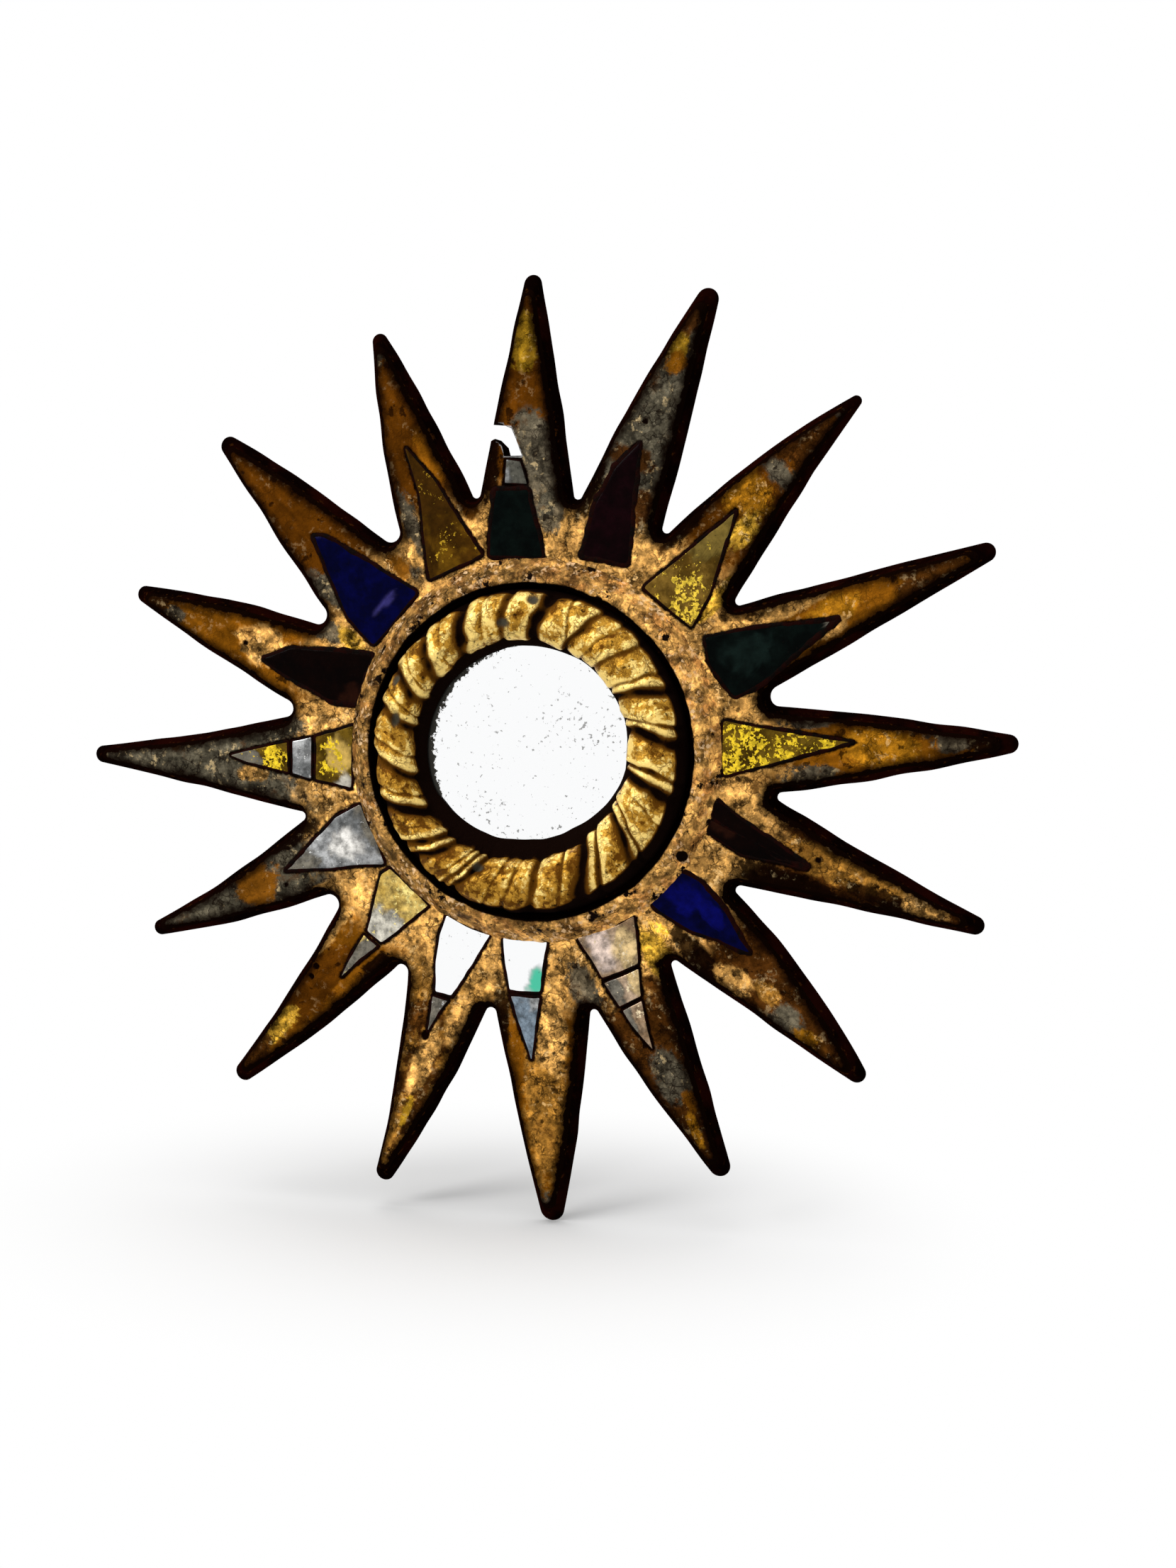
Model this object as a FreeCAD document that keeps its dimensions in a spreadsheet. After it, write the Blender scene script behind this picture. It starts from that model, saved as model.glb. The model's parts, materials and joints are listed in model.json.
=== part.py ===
import FreeCAD, Part
import math
import os
import Sketcher
from FreeCAD import Vector

# Sunburst wall mirror: sixteen gilded rays with inlaid glass round a twisted bezel and a domed mirror.
# The back lies on the wall plane y = 0, the front faces -Y and +Z is up. The origin is the back's centre.
# Depths are counted from the wall towards the viewer, and angles counter-clockwise from +X seen from the front.

os.makedirs("parts", exist_ok=True)
doc = FreeCAD.newDocument("sunburst_mirror")

# Driving dimensions in millimetres and degrees.
dimensions = [
    ("star_radius", 125.0),
    ("pad_radius", 42.0),
    ("pad_thickness", 3.0),
    ("base_thickness", 4.0),
    ("face_thickness", 2.0),
    ("bevel_width", 2.7),
    ("tip_radius", 2.4),
    ("face_tip_radius", 1.1),
    ("face_tip_setback_length", 6.5),
    ("valley_radius", 2.6),
    ("glass_thickness", 2.2),
    ("glass_joint_width", 0.5),
    ("collar_gap_width", 1.5),
    ("collar_width", 5.7),
    ("collar_height", 4.5),
    ("collar_foot_height", 0.6),
    ("collar_rim_width", 1.3),
    ("collar_fillet_radius", 0.5),
    ("rope_half_width", 8.0),
    ("rope_wall_height", 6.0),
    ("rope_crown_height", 6.0),
    ("rope_lobes", 20.0),
    ("rope_groove_depth", 1.4),
    ("rope_slant", 25.0),
    ("rope_lip_height", 3.4),
    ("rope_foot_width", 2.8),
    ("mirror_radius", 31.0),
    ("mirror_clearance", 0.7),
    ("mirror_thickness", 2.2),
    ("mirror_rise_height", 2.8),
    ("mirror_rim_width", 1.5),
    ("strap_width", 8.0),
    ("strap_length", 17.0),
    ("strap_thickness", 0.6),
    ("strap_gap_width", 3.0),
    ("knuckle_radius", 1.4),
    ("knuckle_width", 5.6),
    ("ring_wire_radius", 0.75),
    ("ring_half_width", 5.6),
    ("ring_shoulder_radius", 1.6),
    ("ring_clearance", 0.08),
    ("screw_head_radius", 1.6),
    ("screw_head_height", 0.8),
    ("screw_shank_radius", 0.9),
    ("screw_length", 3.2),
    ("screw_first_distance", 10.2),
    ("screw_second_distance", 14.6),
    ("screw_clearance", 0.05),
    ("overrun_length", 1.0),
]

# Sizes that follow from the ones above: the bezel sits round the mirror, the collar round the bezel, and the
# hanger's strap above the pad.
derived = [
    ("rope_centre_radius", "=mirror_radius + mirror_clearance + rope_foot_width"),
    ("collar_inner_radius", "=rope_centre_radius + rope_half_width + collar_gap_width"),
    ("collar_outer_radius", "=collar_inner_radius + collar_width"),
    ("strap_pivot_height", "=pad_radius + strap_gap_width + strap_length"),
]

sheet = doc.addObject("Spreadsheet::Sheet", "sizes")
for row, (alias, value) in enumerate(dimensions + derived, start=1):
    sheet.set("A%d" % row, alias)
    sheet.set("B%d" % row, str(value))
    sheet.setAlias("B%d" % row, alias)
doc.recompute()


def size(alias):
    """The value of one named cell."""
    return float(sheet.get(alias))


star_radius = size("star_radius")
back_depth = size("pad_thickness")
seat_depth = back_depth + size("base_thickness")
face_depth = seat_depth + size("face_thickness")
base_bevel_share = size("base_thickness") / (size("base_thickness") + size("face_thickness"))

# One row for each ray, clockwise from the top: tip angle, reach, half width on its left and on its right
# at the middle of the ray, tip roundness, then the notch that follows: angle, distance, roundness, and how far
# the tip leans to the left of the ray's axis, in degrees.
# Every distance from the centre is a share of the star's radius, on a scale on which the collar's outer edge
# lies at the collar's share, so that rays, notches and inlays keep their places between collar and tips.
collar_share = 0.3976
ray_shares = [
    (90.5, 0.990, 0.073, 0.053, 1.0, 80.5, 0.535, 0.45, 0.00),
    (69.5, 1.015, 0.062, 0.066, 1.2, 59.0, 0.530, 0.45, -0.85),
    (47.5, 0.985, 0.064, 0.052, 0.6, 36.0, 0.525, 0.45, -0.55),
    (24.0, 1.030, 0.062, 0.053, 1.0, 13.0, 0.510, 1.00, -0.15),
    (2.0, 0.995, 0.052, 0.064, 1.0, -9.5, 0.520, 0.45, -0.25),
    (-20.0, 0.995, 0.045, 0.061, 1.0, -33.0, 0.510, 0.50, -0.20),
    (-44.5, 0.965, 0.074, 0.050, 1.0, -56.0, 0.530, 0.45, 0.65),
    (-65.5, 0.980, 0.051, 0.073, 1.2, -77.5, 0.565, 0.45, 0.00),
    (-89.0, 1.020, 0.081, 0.067, 1.4, -100.5, 0.570, 0.60, 0.70),
    (-111.0, 1.025, 0.074, 0.053, 1.1, -122.5, 0.565, 0.70, 0.30),
    (-133.5, 1.030, 0.074, 0.049, 1.1, -144.0, 0.570, 1.00, 0.35),
    (-154.5, 1.000, 0.062, 0.046, 0.9, -164.0, 0.555, 0.50, -0.40),
    (-178.5, 1.045, 0.079, 0.048, 1.0, -188.0, 0.565, 1.00, 0.00),
    (-200.0, 0.990, 0.067, 0.060, 1.0, -210.0, 0.555, 1.00, 0.00),
    (-223.0, 0.980, 0.067, 0.064, 1.1, -234.5, 0.545, 1.00, 0.00),
    (-248.5, 0.950, 0.076, 0.040, 0.9, -256.0, 0.550, 0.45, 0.45),
]
middle_share = 0.76
notch_half_angle = 23.0
tip_half_angle = 10.5

# The glass inlays: name, ray, and corners as shares along and to the left of the ray's own axis.
glass_shares = [
    ("glass_01_tip", 1, [(0.610, 0.050), (0.605, 0.018), (0.556, 0.004), (0.560, 0.053)]),
    ("glass_01_root", 1, [(0.549, 0.076), (0.549, 0.003), (0.403, -0.028), (0.407, 0.090)]),
    ("glass_02", 2, [(0.680, 0.004), (0.610, 0.038), (0.530, 0.050), (0.416, 0.045), (0.434, -0.058),
                     (0.555, -0.026), (0.640, -0.002)]),
    ("glass_03", 3, [(0.660, 0.017), (0.410, 0.055), (0.420, -0.078), (0.500, -0.055)]),
    ("glass_04", 4, [(0.700, -0.006), (0.560, 0.038), (0.435, 0.070), (0.420, 0.015), (0.440, -0.065),
                     (0.520, -0.060), (0.620, -0.028)]),
    ("glass_05", 5, [(0.680, 0.008), (0.408, 0.057), (0.405, -0.058)]),
    ("glass_06_upper", 6, [(0.632, -0.010), (0.375, 0.053), (0.384, 0.018), (0.560, -0.020)]),
    ("glass_06_lower", 6, [(0.628, -0.018), (0.560, -0.027), (0.386, 0.010), (0.392, -0.016),
                           (0.493, -0.040)]),
    ("glass_07", 7, [(0.620, 0.038), (0.525, 0.060), (0.440, 0.068), (0.383, 0.045), (0.380, -0.042),
                     (0.422, -0.041), (0.505, -0.021), (0.560, 0.009)]),
    ("glass_08_root", 8, [(0.496, 0.028), (0.397, 0.062), (0.382, -0.075), (0.496, -0.060)]),
    ("glass_08_middle", 8, [(0.560, 0.007), (0.504, 0.024), (0.504, -0.060), (0.565, -0.048)]),
    ("glass_08_tip", 8, [(0.675, -0.018), (0.568, 0.004), (0.573, -0.046), (0.610, -0.040)]),
    ("glass_09_root", 9, [(0.512, 0.010), (0.397, 0.027), (0.395, -0.075), (0.512, -0.062)]),
    ("glass_09_tip", 9, [(0.660, -0.015), (0.520, 0.009), (0.520, -0.061)]),
    ("glass_10_root", 10, [(0.562, 0.020), (0.473, 0.041), (0.383, 0.057), (0.393, -0.052), (0.443, -0.052),
                           (0.503, -0.040), (0.567, -0.020)]),
    ("glass_10_tip", 10, [(0.655, -0.002), (0.571, 0.017), (0.576, -0.021)]),
    ("glass_11_root", 11, [(0.541, 0.044), (0.402, 0.066), (0.405, -0.058), (0.430, -0.062), (0.520, -0.014),
                           (0.546, 0.000)]),
    ("glass_11_tip", 11, [(0.665, 0.027), (0.549, 0.044), (0.555, 0.001)]),
    ("glass_12", 12, [(0.630, 0.003), (0.406, 0.082), (0.396, -0.057), (0.466, -0.057)]),
    ("glass_13_root", 13, [(0.493, 0.058), (0.409, 0.078), (0.399, -0.061), (0.490, -0.040)]),
    ("glass_13_middle", 13, [(0.546, 0.045), (0.501, 0.056), (0.498, -0.039), (0.544, -0.029)]),
    ("glass_13_tip", 13, [(0.693, 0.003), (0.650, 0.020), (0.554, 0.043), (0.552, -0.028)]),
    ("glass_14", 14, [(0.640, 0.029), (0.530, 0.052), (0.450, 0.059), (0.393, 0.045), (0.400, -0.070),
                      (0.585, -0.018)]),
    ("glass_15", 15, [(0.670, 0.003), (0.600, 0.030), (0.495, 0.075), (0.408, 0.079), (0.410, -0.074),
                      (0.555, -0.040), (0.650, -0.016)]),
    ("glass_16", 16, [(0.695, 0.023), (0.590, 0.033), (0.415, 0.080), (0.420, -0.053), (0.550, -0.025),
                      (0.613, -0.009)]),
]

# The notch broken out of the left flank of one ray, which leaves a thin splinter standing: ray and corners.
chip = (1, [(0.690, 0.130), (0.683, 0.062), (0.672, 0.038), (0.655, 0.030), (0.634, 0.021),
            (0.616, 0.014), (0.616, 0.054), (0.636, 0.060), (0.652, 0.076), (0.650, 0.130)])

# Height of a twisted lobe above its groove at four steps, as a share of the groove's depth.
lobe_shares = [0.0, 0.75, 1.0, 0.75]
# How much of a groove's depth its sides are drawn in, and the width of the bezel's foot by that of its band.
side_share = 0.6
foot_share = 0.95
# Where the middle of a rounded right-angled corner lies, in degrees.
corner_middle_angle = 45.0


def at(x, z, depth):
    """A point given as seen from the front, and how far it lies in front of the wall."""
    return Vector(x, -depth, z)


def reach(share):
    """The distance from the centre that a share stands for."""
    collar_edge = size("collar_outer_radius")
    return collar_edge + (share - collar_share) / (1.0 - collar_share) * (star_radius - collar_edge)


def on_ray(ray, along, across, depth, lean=0.0):
    """A point along a ray's axis and across it to the left."""
    angle = math.radians(ray_shares[ray - 1][0] + lean)
    x = along * math.cos(angle) - across * math.sin(angle)
    z = along * math.sin(angle) + across * math.cos(angle)
    return at(x, z, depth)


def arc(first, middle, last):
    return Part.Arc(first, middle, last).toShape()


def line(first, last):
    return Part.LineSegment(first, last).toShape()


def notch_points(row, inset_share, depth):
    """The three points of the round at the bottom of the notch after a ray, from that ray to the next."""
    angle = math.radians(row[5])
    floor = reach(row[6])
    radius = size("valley_radius") * row[7]
    centre = floor + radius
    radius = radius + size("bevel_width") * inset_share
    half = math.radians(notch_half_angle)
    points = []
    for side, back in ((math.cos(half), math.sin(half)), (0.0, 1.0), (-math.cos(half), math.sin(half))):
        along = centre - radius * back
        across = radius * side
        x = along * math.cos(angle) - across * math.sin(angle)
        z = along * math.sin(angle) + across * math.cos(angle)
        points.append(at(x, z, depth))
    return points


def tip_points(ray, inset_share, depth):
    """The three points of a ray's round tip, from its left to its right."""
    row = ray_shares[ray - 1]
    outer = size("tip_radius") * row[4]
    radius = outer + (size("face_tip_radius") * row[4] - outer) * inset_share
    end = reach(row[1]) - size("face_tip_setback_length") * inset_share
    slope = math.radians(tip_half_angle)
    shoulder = end - radius + radius * math.sin(slope)
    left = on_ray(ray, shoulder, radius * math.cos(slope), depth, row[8])
    apex = on_ray(ray, end, 0.0, depth, row[8])
    right = on_ray(ray, shoulder, -radius * math.cos(slope), depth, row[8])
    return left, apex, right


def star_outline(inset_share, depth):
    """The outline of all rays, drawn in from the silhouette by a share of the bevel's run."""
    edges = []
    count = len(ray_shares)
    inset = size("bevel_width") * inset_share
    middle = reach(middle_share)
    for ray in range(1, count + 1):
        row = ray_shares[ray - 1]
        before = notch_points(ray_shares[ray - 2], inset_share, depth)
        after = notch_points(row, inset_share, depth)
        left, apex, right = tip_points(ray, inset_share, depth)
        left_middle = on_ray(ray, middle, star_radius * row[2] - inset, depth)
        right_middle = on_ray(ray, middle, inset - star_radius * row[3], depth)
        edges.append(arc(before[2], left_middle, left))
        edges.append(arc(left, apex, right))
        edges.append(arc(right, right_middle, after[0]))
        edges.append(arc(after[0], after[1], after[2]))
    return Part.Wire(edges)


def prism(corners, depth, height):
    """A straight block on a closed outline of corners, from a depth towards the viewer."""
    wire = Part.makePolygon(corners + [corners[0]])
    return Part.Face(wire).extrude(Vector(0, -height, 0))


def disc(radius, depth, height):
    return Part.makeCylinder(radius, height, at(0, 0, depth), Vector(0, -1, 0))


def chip_block():
    """The block that the notch in the first ray takes away, through both sheets."""
    ray, shares = chip
    start = back_depth - size("overrun_length")
    return prism(corners_on_ray(shares, ray, start), start, face_depth - start + size("overrun_length"))


def corners_on_ray(shares, ray, depth):
    return [on_ray(ray, reach(along), star_radius * across, depth) for along, across in shares]


def feature(name, shape):
    """A sub-part whose shape is worked out here from the sheet's values."""
    item = doc.addObject("Part::Feature", name)
    item.Shape = shape
    item.Label = name
    item.Placement = FreeCAD.Placement()
    return item


subparts = []

# The dark base sheet with its bevelled sides, and the pilot holes for the hanger's two screws.
pivot_height = size("strap_pivot_height")
screw_heights = [pivot_height - size("screw_first_distance"), pivot_height - size("screw_second_distance")]
base = Part.makeLoft([star_outline(0.0, back_depth), star_outline(base_bevel_share, seat_depth)], True, True)
base = base.cut(chip_block())
for height in screw_heights:
    hole_radius = size("screw_shank_radius") + size("screw_clearance")
    hole_depth = size("screw_length") - size("strap_thickness") + size("screw_clearance")
    base = base.cut(Part.makeCylinder(hole_radius, hole_depth, at(0, height, back_depth), Vector(0, -1, 0)))
subparts.append(feature("star_base", base))

# The gilded face sheet, with a window for each inlay and a round hole for the bezel.
face = Part.makeLoft([star_outline(base_bevel_share, seat_depth), star_outline(1.0, face_depth)], True, True)
face = face.cut(chip_block())
window_start = seat_depth - size("overrun_length")
window_height = size("face_thickness") + size("overrun_length") * 2
under_collar = disc(size("collar_outer_radius"), window_start, window_height)
for name, ray, shares in glass_shares:
    corners = corners_on_ray(shares, ray, window_start)
    outline = Part.makePolygon(corners + [corners[0]])
    wider = outline.makeOffset2D(size("glass_joint_width"), 0, False, False, False)
    window = Part.Face(wider).extrude(Vector(0, -window_height, 0)).cut(under_collar)
    face = face.cut(window)
face = face.cut(disc(size("collar_inner_radius"), window_start, window_height))
subparts.append(feature("star_face", face))

# The pieces of glass, each seated on the base sheet in its window.
glass_limit = disc(size("collar_outer_radius") + size("glass_joint_width"), window_start,
                   window_height + size("glass_thickness"))
for name, ray, shares in glass_shares:
    piece = prism(corners_on_ray(shares, ray, seat_depth), seat_depth, size("glass_thickness"))
    subparts.append(feature(name, piece.cut(glass_limit)))


def section_plane(turn):
    """The middle of the bezel's band at a turn, and the direction across the band along its slant."""
    middle = at(size("rope_centre_radius") * math.cos(turn), size("rope_centre_radius") * math.sin(turn), 0.0)
    slanted = turn - math.radians(size("rope_slant"))
    return middle, Vector(math.cos(slanted), 0, math.sin(slanted))


def rope_section(turn, lobe_share):
    """One slanted section of the bezel: a foot, two walls, a lip over the mirror and a round crown."""
    middle, across = section_plane(turn)
    stretch = 1.0 / math.cos(math.radians(size("rope_slant")))
    sunk = size("rope_groove_depth") * (1.0 - lobe_share)
    half = (size("rope_half_width") - sunk * side_share) * stretch
    foot_half = size("rope_half_width") * foot_share * stretch
    shoulder = seat_depth + size("rope_wall_height")
    crest = shoulder + size("rope_crown_height") - sunk
    lip = seat_depth + size("rope_lip_height")
    inner_foot = -size("rope_foot_width") * stretch

    def point(offset, depth):
        return middle + across * offset + Vector(0, -depth, 0)

    corners = [point(foot_half, seat_depth), point(half, shoulder), point(0.0, crest), point(-half, shoulder),
               point(-foot_half, lip), point(inner_foot, lip), point(inner_foot, seat_depth)]
    edges = [
        line(corners[0], corners[1]),
        arc(corners[1], corners[2], corners[3]),
        line(corners[3], corners[4]),
        line(corners[4], corners[5]),
        line(corners[5], corners[6]),
        line(corners[6], corners[0]),
    ]
    return Part.Wire(edges)


# The twisted bezel: one ruled band through slanted sections that rise and sink from lobe to lobe.
steps = len(lobe_shares)
lobes = int(round(size("rope_lobes")))
sections = []
for step in range(lobes * steps):
    turn = math.radians(360.0 * step / (lobes * steps))
    sections.append(rope_section(turn, lobe_shares[step % steps]))
sections.append(sections[0])
rope = Part.makeLoft(sections, True, True, False)
subparts.append(feature("rope_bezel", rope))


def origin_plane(body, role):
    return [plane for plane in body.Origin.OriginFeatures if plane.Role == role][0]


def flat_sketch(body, role):
    """An empty sketch on one of a body's own origin planes."""
    sketch = body.newObject("Sketcher::SketchObject", body.Name + "_sketch")
    sketch.AttachmentSupport = (origin_plane(body, role), [""])
    sketch.MapMode = "FlatFace"
    doc.recompute()
    return sketch


def bind(item, path, expression):
    """Ties one property to an expression of the sheet, whose cells are written by their bare names."""
    words = []
    for word in expression.split():
        words.append("sizes." + word if word in aliases else word)
    item.setExpression(path, " ".join(words))


aliases = [alias for alias, value in dimensions + derived]
seat = "( pad_thickness + base_thickness )"
face_top = "( pad_thickness + base_thickness + face_thickness )"

# The raised collar: a turned band that climbs from the face towards the bezel, with its rim eased.
collar = doc.addObject("PartDesign::Body", "collar_ring")
collar_sketch = flat_sketch(collar, "XY_Plane")
collar_corners = [
    ("collar_inner_radius", face_top),
    ("collar_outer_radius", face_top),
    ("collar_outer_radius", face_top + " + collar_foot_height"),
    ("collar_inner_radius + collar_rim_width", face_top + " + collar_height"),
    ("collar_inner_radius", face_top + " + collar_height"),
]
corner_count = len(collar_corners)
rough = [(size("collar_inner_radius") + index % 2, -face_depth - index) for index in range(corner_count)]
for index in range(corner_count):
    start = Vector(rough[index][0], rough[index][1], 0)
    end = Vector(rough[(index + 1) % corner_count][0], rough[(index + 1) % corner_count][1], 0)
    collar_sketch.addGeometry(Part.LineSegment(start, end), False)
for index in range(corner_count):
    collar_sketch.addConstraint(Sketcher.Constraint("Coincident", index, 2, (index + 1) % corner_count, 1))
for index, (radius, depth) in enumerate(collar_corners):
    place = collar_sketch.addConstraint(Sketcher.Constraint("DistanceX", -1, 1, index, 1, star_radius))
    bind(collar_sketch, "Constraints[%d]" % place, radius)
    place = collar_sketch.addConstraint(Sketcher.Constraint("DistanceY", index, 1, -1, 1, star_radius))
    bind(collar_sketch, "Constraints[%d]" % place, depth)
doc.recompute()
collar_turn = collar.newObject("PartDesign::Revolution", "collar_turn")
collar_turn.Profile = collar_sketch
collar_turn.ReferenceAxis = (collar_sketch, ["V_Axis"])
collar_turn.Angle = 360.0
doc.recompute()
rim_depth = face_depth + size("collar_height")
rim_edges = []
for index, edge in enumerate(collar_turn.Shape.Edges, start=1):
    box = edge.BoundBox
    off_rim = max(abs(box.YMin + rim_depth), abs(box.YMax + rim_depth))
    if off_rim < size("ring_clearance"):
        rim_edges.append("Edge%d" % index)
collar_ease = collar.newObject("PartDesign::Fillet", "collar_ease")
collar_ease.Base = (collar_turn, rim_edges)
bind(collar_ease, "Radius", "collar_fillet_radius")
collar.Tip = collar_ease
subparts.append(collar)

# The domed mirror: a disc of glass capped by one sphere and hollowed by another, on a flat rim.
mirror_blank = doc.addObject("Part::Cylinder", "mirror_blank")
bind(mirror_blank, "Radius", "mirror_radius")
bind(mirror_blank, "Height", "mirror_thickness + mirror_rise_height")
mirror_blank.Placement.Rotation = FreeCAD.Rotation(Vector(1, 0, 0), 90)
bind(mirror_blank, "Placement.Base.y", "0 - " + seat)
dome = doc.addObject("Part::Sphere", "mirror_dome")
dome_radius = "( mirror_radius ^ 2 + mirror_rise_height ^ 2 ) / ( 2 * mirror_rise_height )"
bind(dome, "Radius", dome_radius)
bind(dome, "Placement.Base.y", dome_radius + " - " + seat + " - mirror_thickness - mirror_rise_height")
hollow = doc.addObject("Part::Sphere", "mirror_hollow")
hollow_reach = "( mirror_radius - mirror_rim_width )"
hollow_radius = "( " + hollow_reach + " ^ 2 + mirror_rise_height ^ 2 ) / ( 2 * mirror_rise_height )"
bind(hollow, "Radius", hollow_radius)
bind(hollow, "Placement.Base.y", hollow_radius + " - " + seat + " - mirror_rise_height")
domed = doc.addObject("Part::Common", "mirror_domed")
domed.Base = mirror_blank
domed.Tool = dome
mirror = doc.addObject("Part::Cut", "mirror_glass")
mirror.Base = domed
mirror.Tool = hollow
subparts.append(mirror)

# The felt pad that keeps the sun off the wall.
pad = doc.addObject("PartDesign::Body", "back_pad")
pad_sketch = flat_sketch(pad, "XZ_Plane")
pad_sketch.addGeometry(Part.Circle(Vector(0, 0, 0), Vector(0, 0, 1), size("pad_radius")), False)
pad_sketch.addConstraint(Sketcher.Constraint("Coincident", 0, 3, -1, 1))
place = pad_sketch.addConstraint(Sketcher.Constraint("Radius", 0, size("pad_radius")))
bind(pad_sketch, "Constraints[%d]" % place, "pad_radius")
pad_layer = pad.newObject("PartDesign::Pad", "pad_layer")
pad_layer.Profile = pad_sketch
bind(pad_layer, "Length", "pad_thickness")
subparts.append(pad)

# The hanger's strap: a plate on the base sheet's back whose upper end is curled round the ring's bar.
pivot_depth = "( pad_thickness - knuckle_radius - ring_clearance )"
plate = doc.addObject("Part::Box", "strap_plate")
bind(plate, "Length", "strap_width")
bind(plate, "Width", "strap_thickness")
bind(plate, "Height", "strap_length")
bind(plate, "Placement.Base.x", "0 - strap_width / 2")
bind(plate, "Placement.Base.y", "0 - pad_thickness")
bind(plate, "Placement.Base.z", "strap_pivot_height - strap_length")


def along_bar(name, radius, width):
    """A cylinder on the ring's pivot line."""
    item = doc.addObject("Part::Cylinder", name)
    bind(item, "Radius", radius)
    bind(item, "Height", width)
    item.Placement.Rotation = FreeCAD.Rotation(Vector(0, 1, 0), 90)
    bind(item, "Placement.Base.x", "0 - ( " + width + " ) / 2")
    bind(item, "Placement.Base.y", "0 - " + pivot_depth)
    bind(item, "Placement.Base.z", "strap_pivot_height")
    return item


knuckle = along_bar("strap_knuckle", "knuckle_radius", "knuckle_width")
bore = along_bar("strap_bore", "ring_wire_radius + ring_clearance", "strap_width + overrun_length")
strap_blank = doc.addObject("Part::Fuse", "strap_blank")
strap_blank.Base = plate
strap_blank.Tool = knuckle
strap = doc.addObject("Part::Cut", "strap_bored")
strap.Base = strap_blank
strap.Tool = bore
for number, distance in enumerate(("screw_first_distance", "screw_second_distance"), start=1):
    hole = doc.addObject("Part::Cylinder", "strap_hole_%d" % number)
    bind(hole, "Radius", "screw_shank_radius + screw_clearance")
    bind(hole, "Height", "strap_thickness + overrun_length * 2")
    hole.Placement.Rotation = FreeCAD.Rotation(Vector(1, 0, 0), 90)
    bind(hole, "Placement.Base.y", "overrun_length + strap_thickness - pad_thickness")
    bind(hole, "Placement.Base.z", "strap_pivot_height - " + distance)
    drilled = doc.addObject("Part::Cut", "strap_drilled_%d" % number)
    drilled.Base = strap
    drilled.Tool = hole
    strap = drilled
strap.Label = "hanger_strap"
subparts.append(strap)

# The two round-headed screws, which hold the strap to the base sheet.
screws = []
for height in screw_heights:
    head_radius = size("screw_head_radius")
    head_height = size("screw_head_height")
    head_start = back_depth - size("strap_thickness") - head_height
    head = Part.makeCylinder(head_radius, head_height, at(0, height, head_start), Vector(0, -1, 0))
    crown_radius = (head_radius ** 2 + head_height ** 2) / head_height / 2
    crown = Part.makeSphere(crown_radius, at(0, height, head_start + crown_radius))
    shank = Part.makeCylinder(size("screw_shank_radius"), size("screw_length"),
                              at(0, height, back_depth - size("strap_thickness")), Vector(0, -1, 0))
    screws.append(head.common(crown).fuse(shank).removeSplitter())
subparts.append(feature("hanger_screws", Part.makeCompound(screws)))

# The hanging ring: a straight bar through the knuckle and a round bow that hangs from it.
bar_depth = back_depth - size("knuckle_radius") - size("ring_clearance")
half_width = size("ring_half_width")
shoulder = size("ring_shoulder_radius")
bend = shoulder * math.sin(math.radians(corner_middle_angle))
bar_end = half_width - shoulder
bow_height = pivot_height - shoulder


def bow_point(x, z):
    return at(x, z, bar_depth)


ring_path = Part.Wire([
    line(bow_point(-bar_end, pivot_height), bow_point(bar_end, pivot_height)),
    arc(bow_point(bar_end, pivot_height), bow_point(bar_end + bend, bow_height + bend),
        bow_point(half_width, bow_height)),
    arc(bow_point(half_width, bow_height), bow_point(0, bow_height - half_width),
        bow_point(-half_width, bow_height)),
    arc(bow_point(-half_width, bow_height), bow_point(-bar_end - bend, bow_height + bend),
        bow_point(-bar_end, pivot_height)),
])
wire_section = Part.Wire([Part.makeCircle(size("ring_wire_radius"), bow_point(-bar_end, pivot_height),
                                          Vector(1, 0, 0))])
ring = ring_path.makePipeShell([wire_section], True, False)
subparts.append(feature("hanger_ring", ring))

doc.recompute()
for item in doc.Objects:
    if "Invalid" in item.State or "Error" in item.State:
        raise RuntimeError("failed feature: " + item.Label)
for item in subparts:
    if item.Shape.isNull() or not item.Shape.isValid():
        raise RuntimeError("bad shape: " + item.Label)
    if len(item.Shape.Solids) == 0:
        raise RuntimeError("no solid: " + item.Label)
for item in subparts:
    item.Shape.exportStep(os.path.join("parts", item.Label + ".step"))
    box = item.Shape.BoundBox
    print("%-16s solids %d faces %4d volume %9.1f  x %.1f..%.1f  y %.1f..%.1f  z %.1f..%.1f" % (
        item.Label, len(item.Shape.Solids), len(item.Shape.Faces), item.Shape.Volume,
        box.XMin, box.XMax, box.YMin, box.YMax, box.ZMin, box.ZMax))
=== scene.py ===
import itertools
import json
import math

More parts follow.
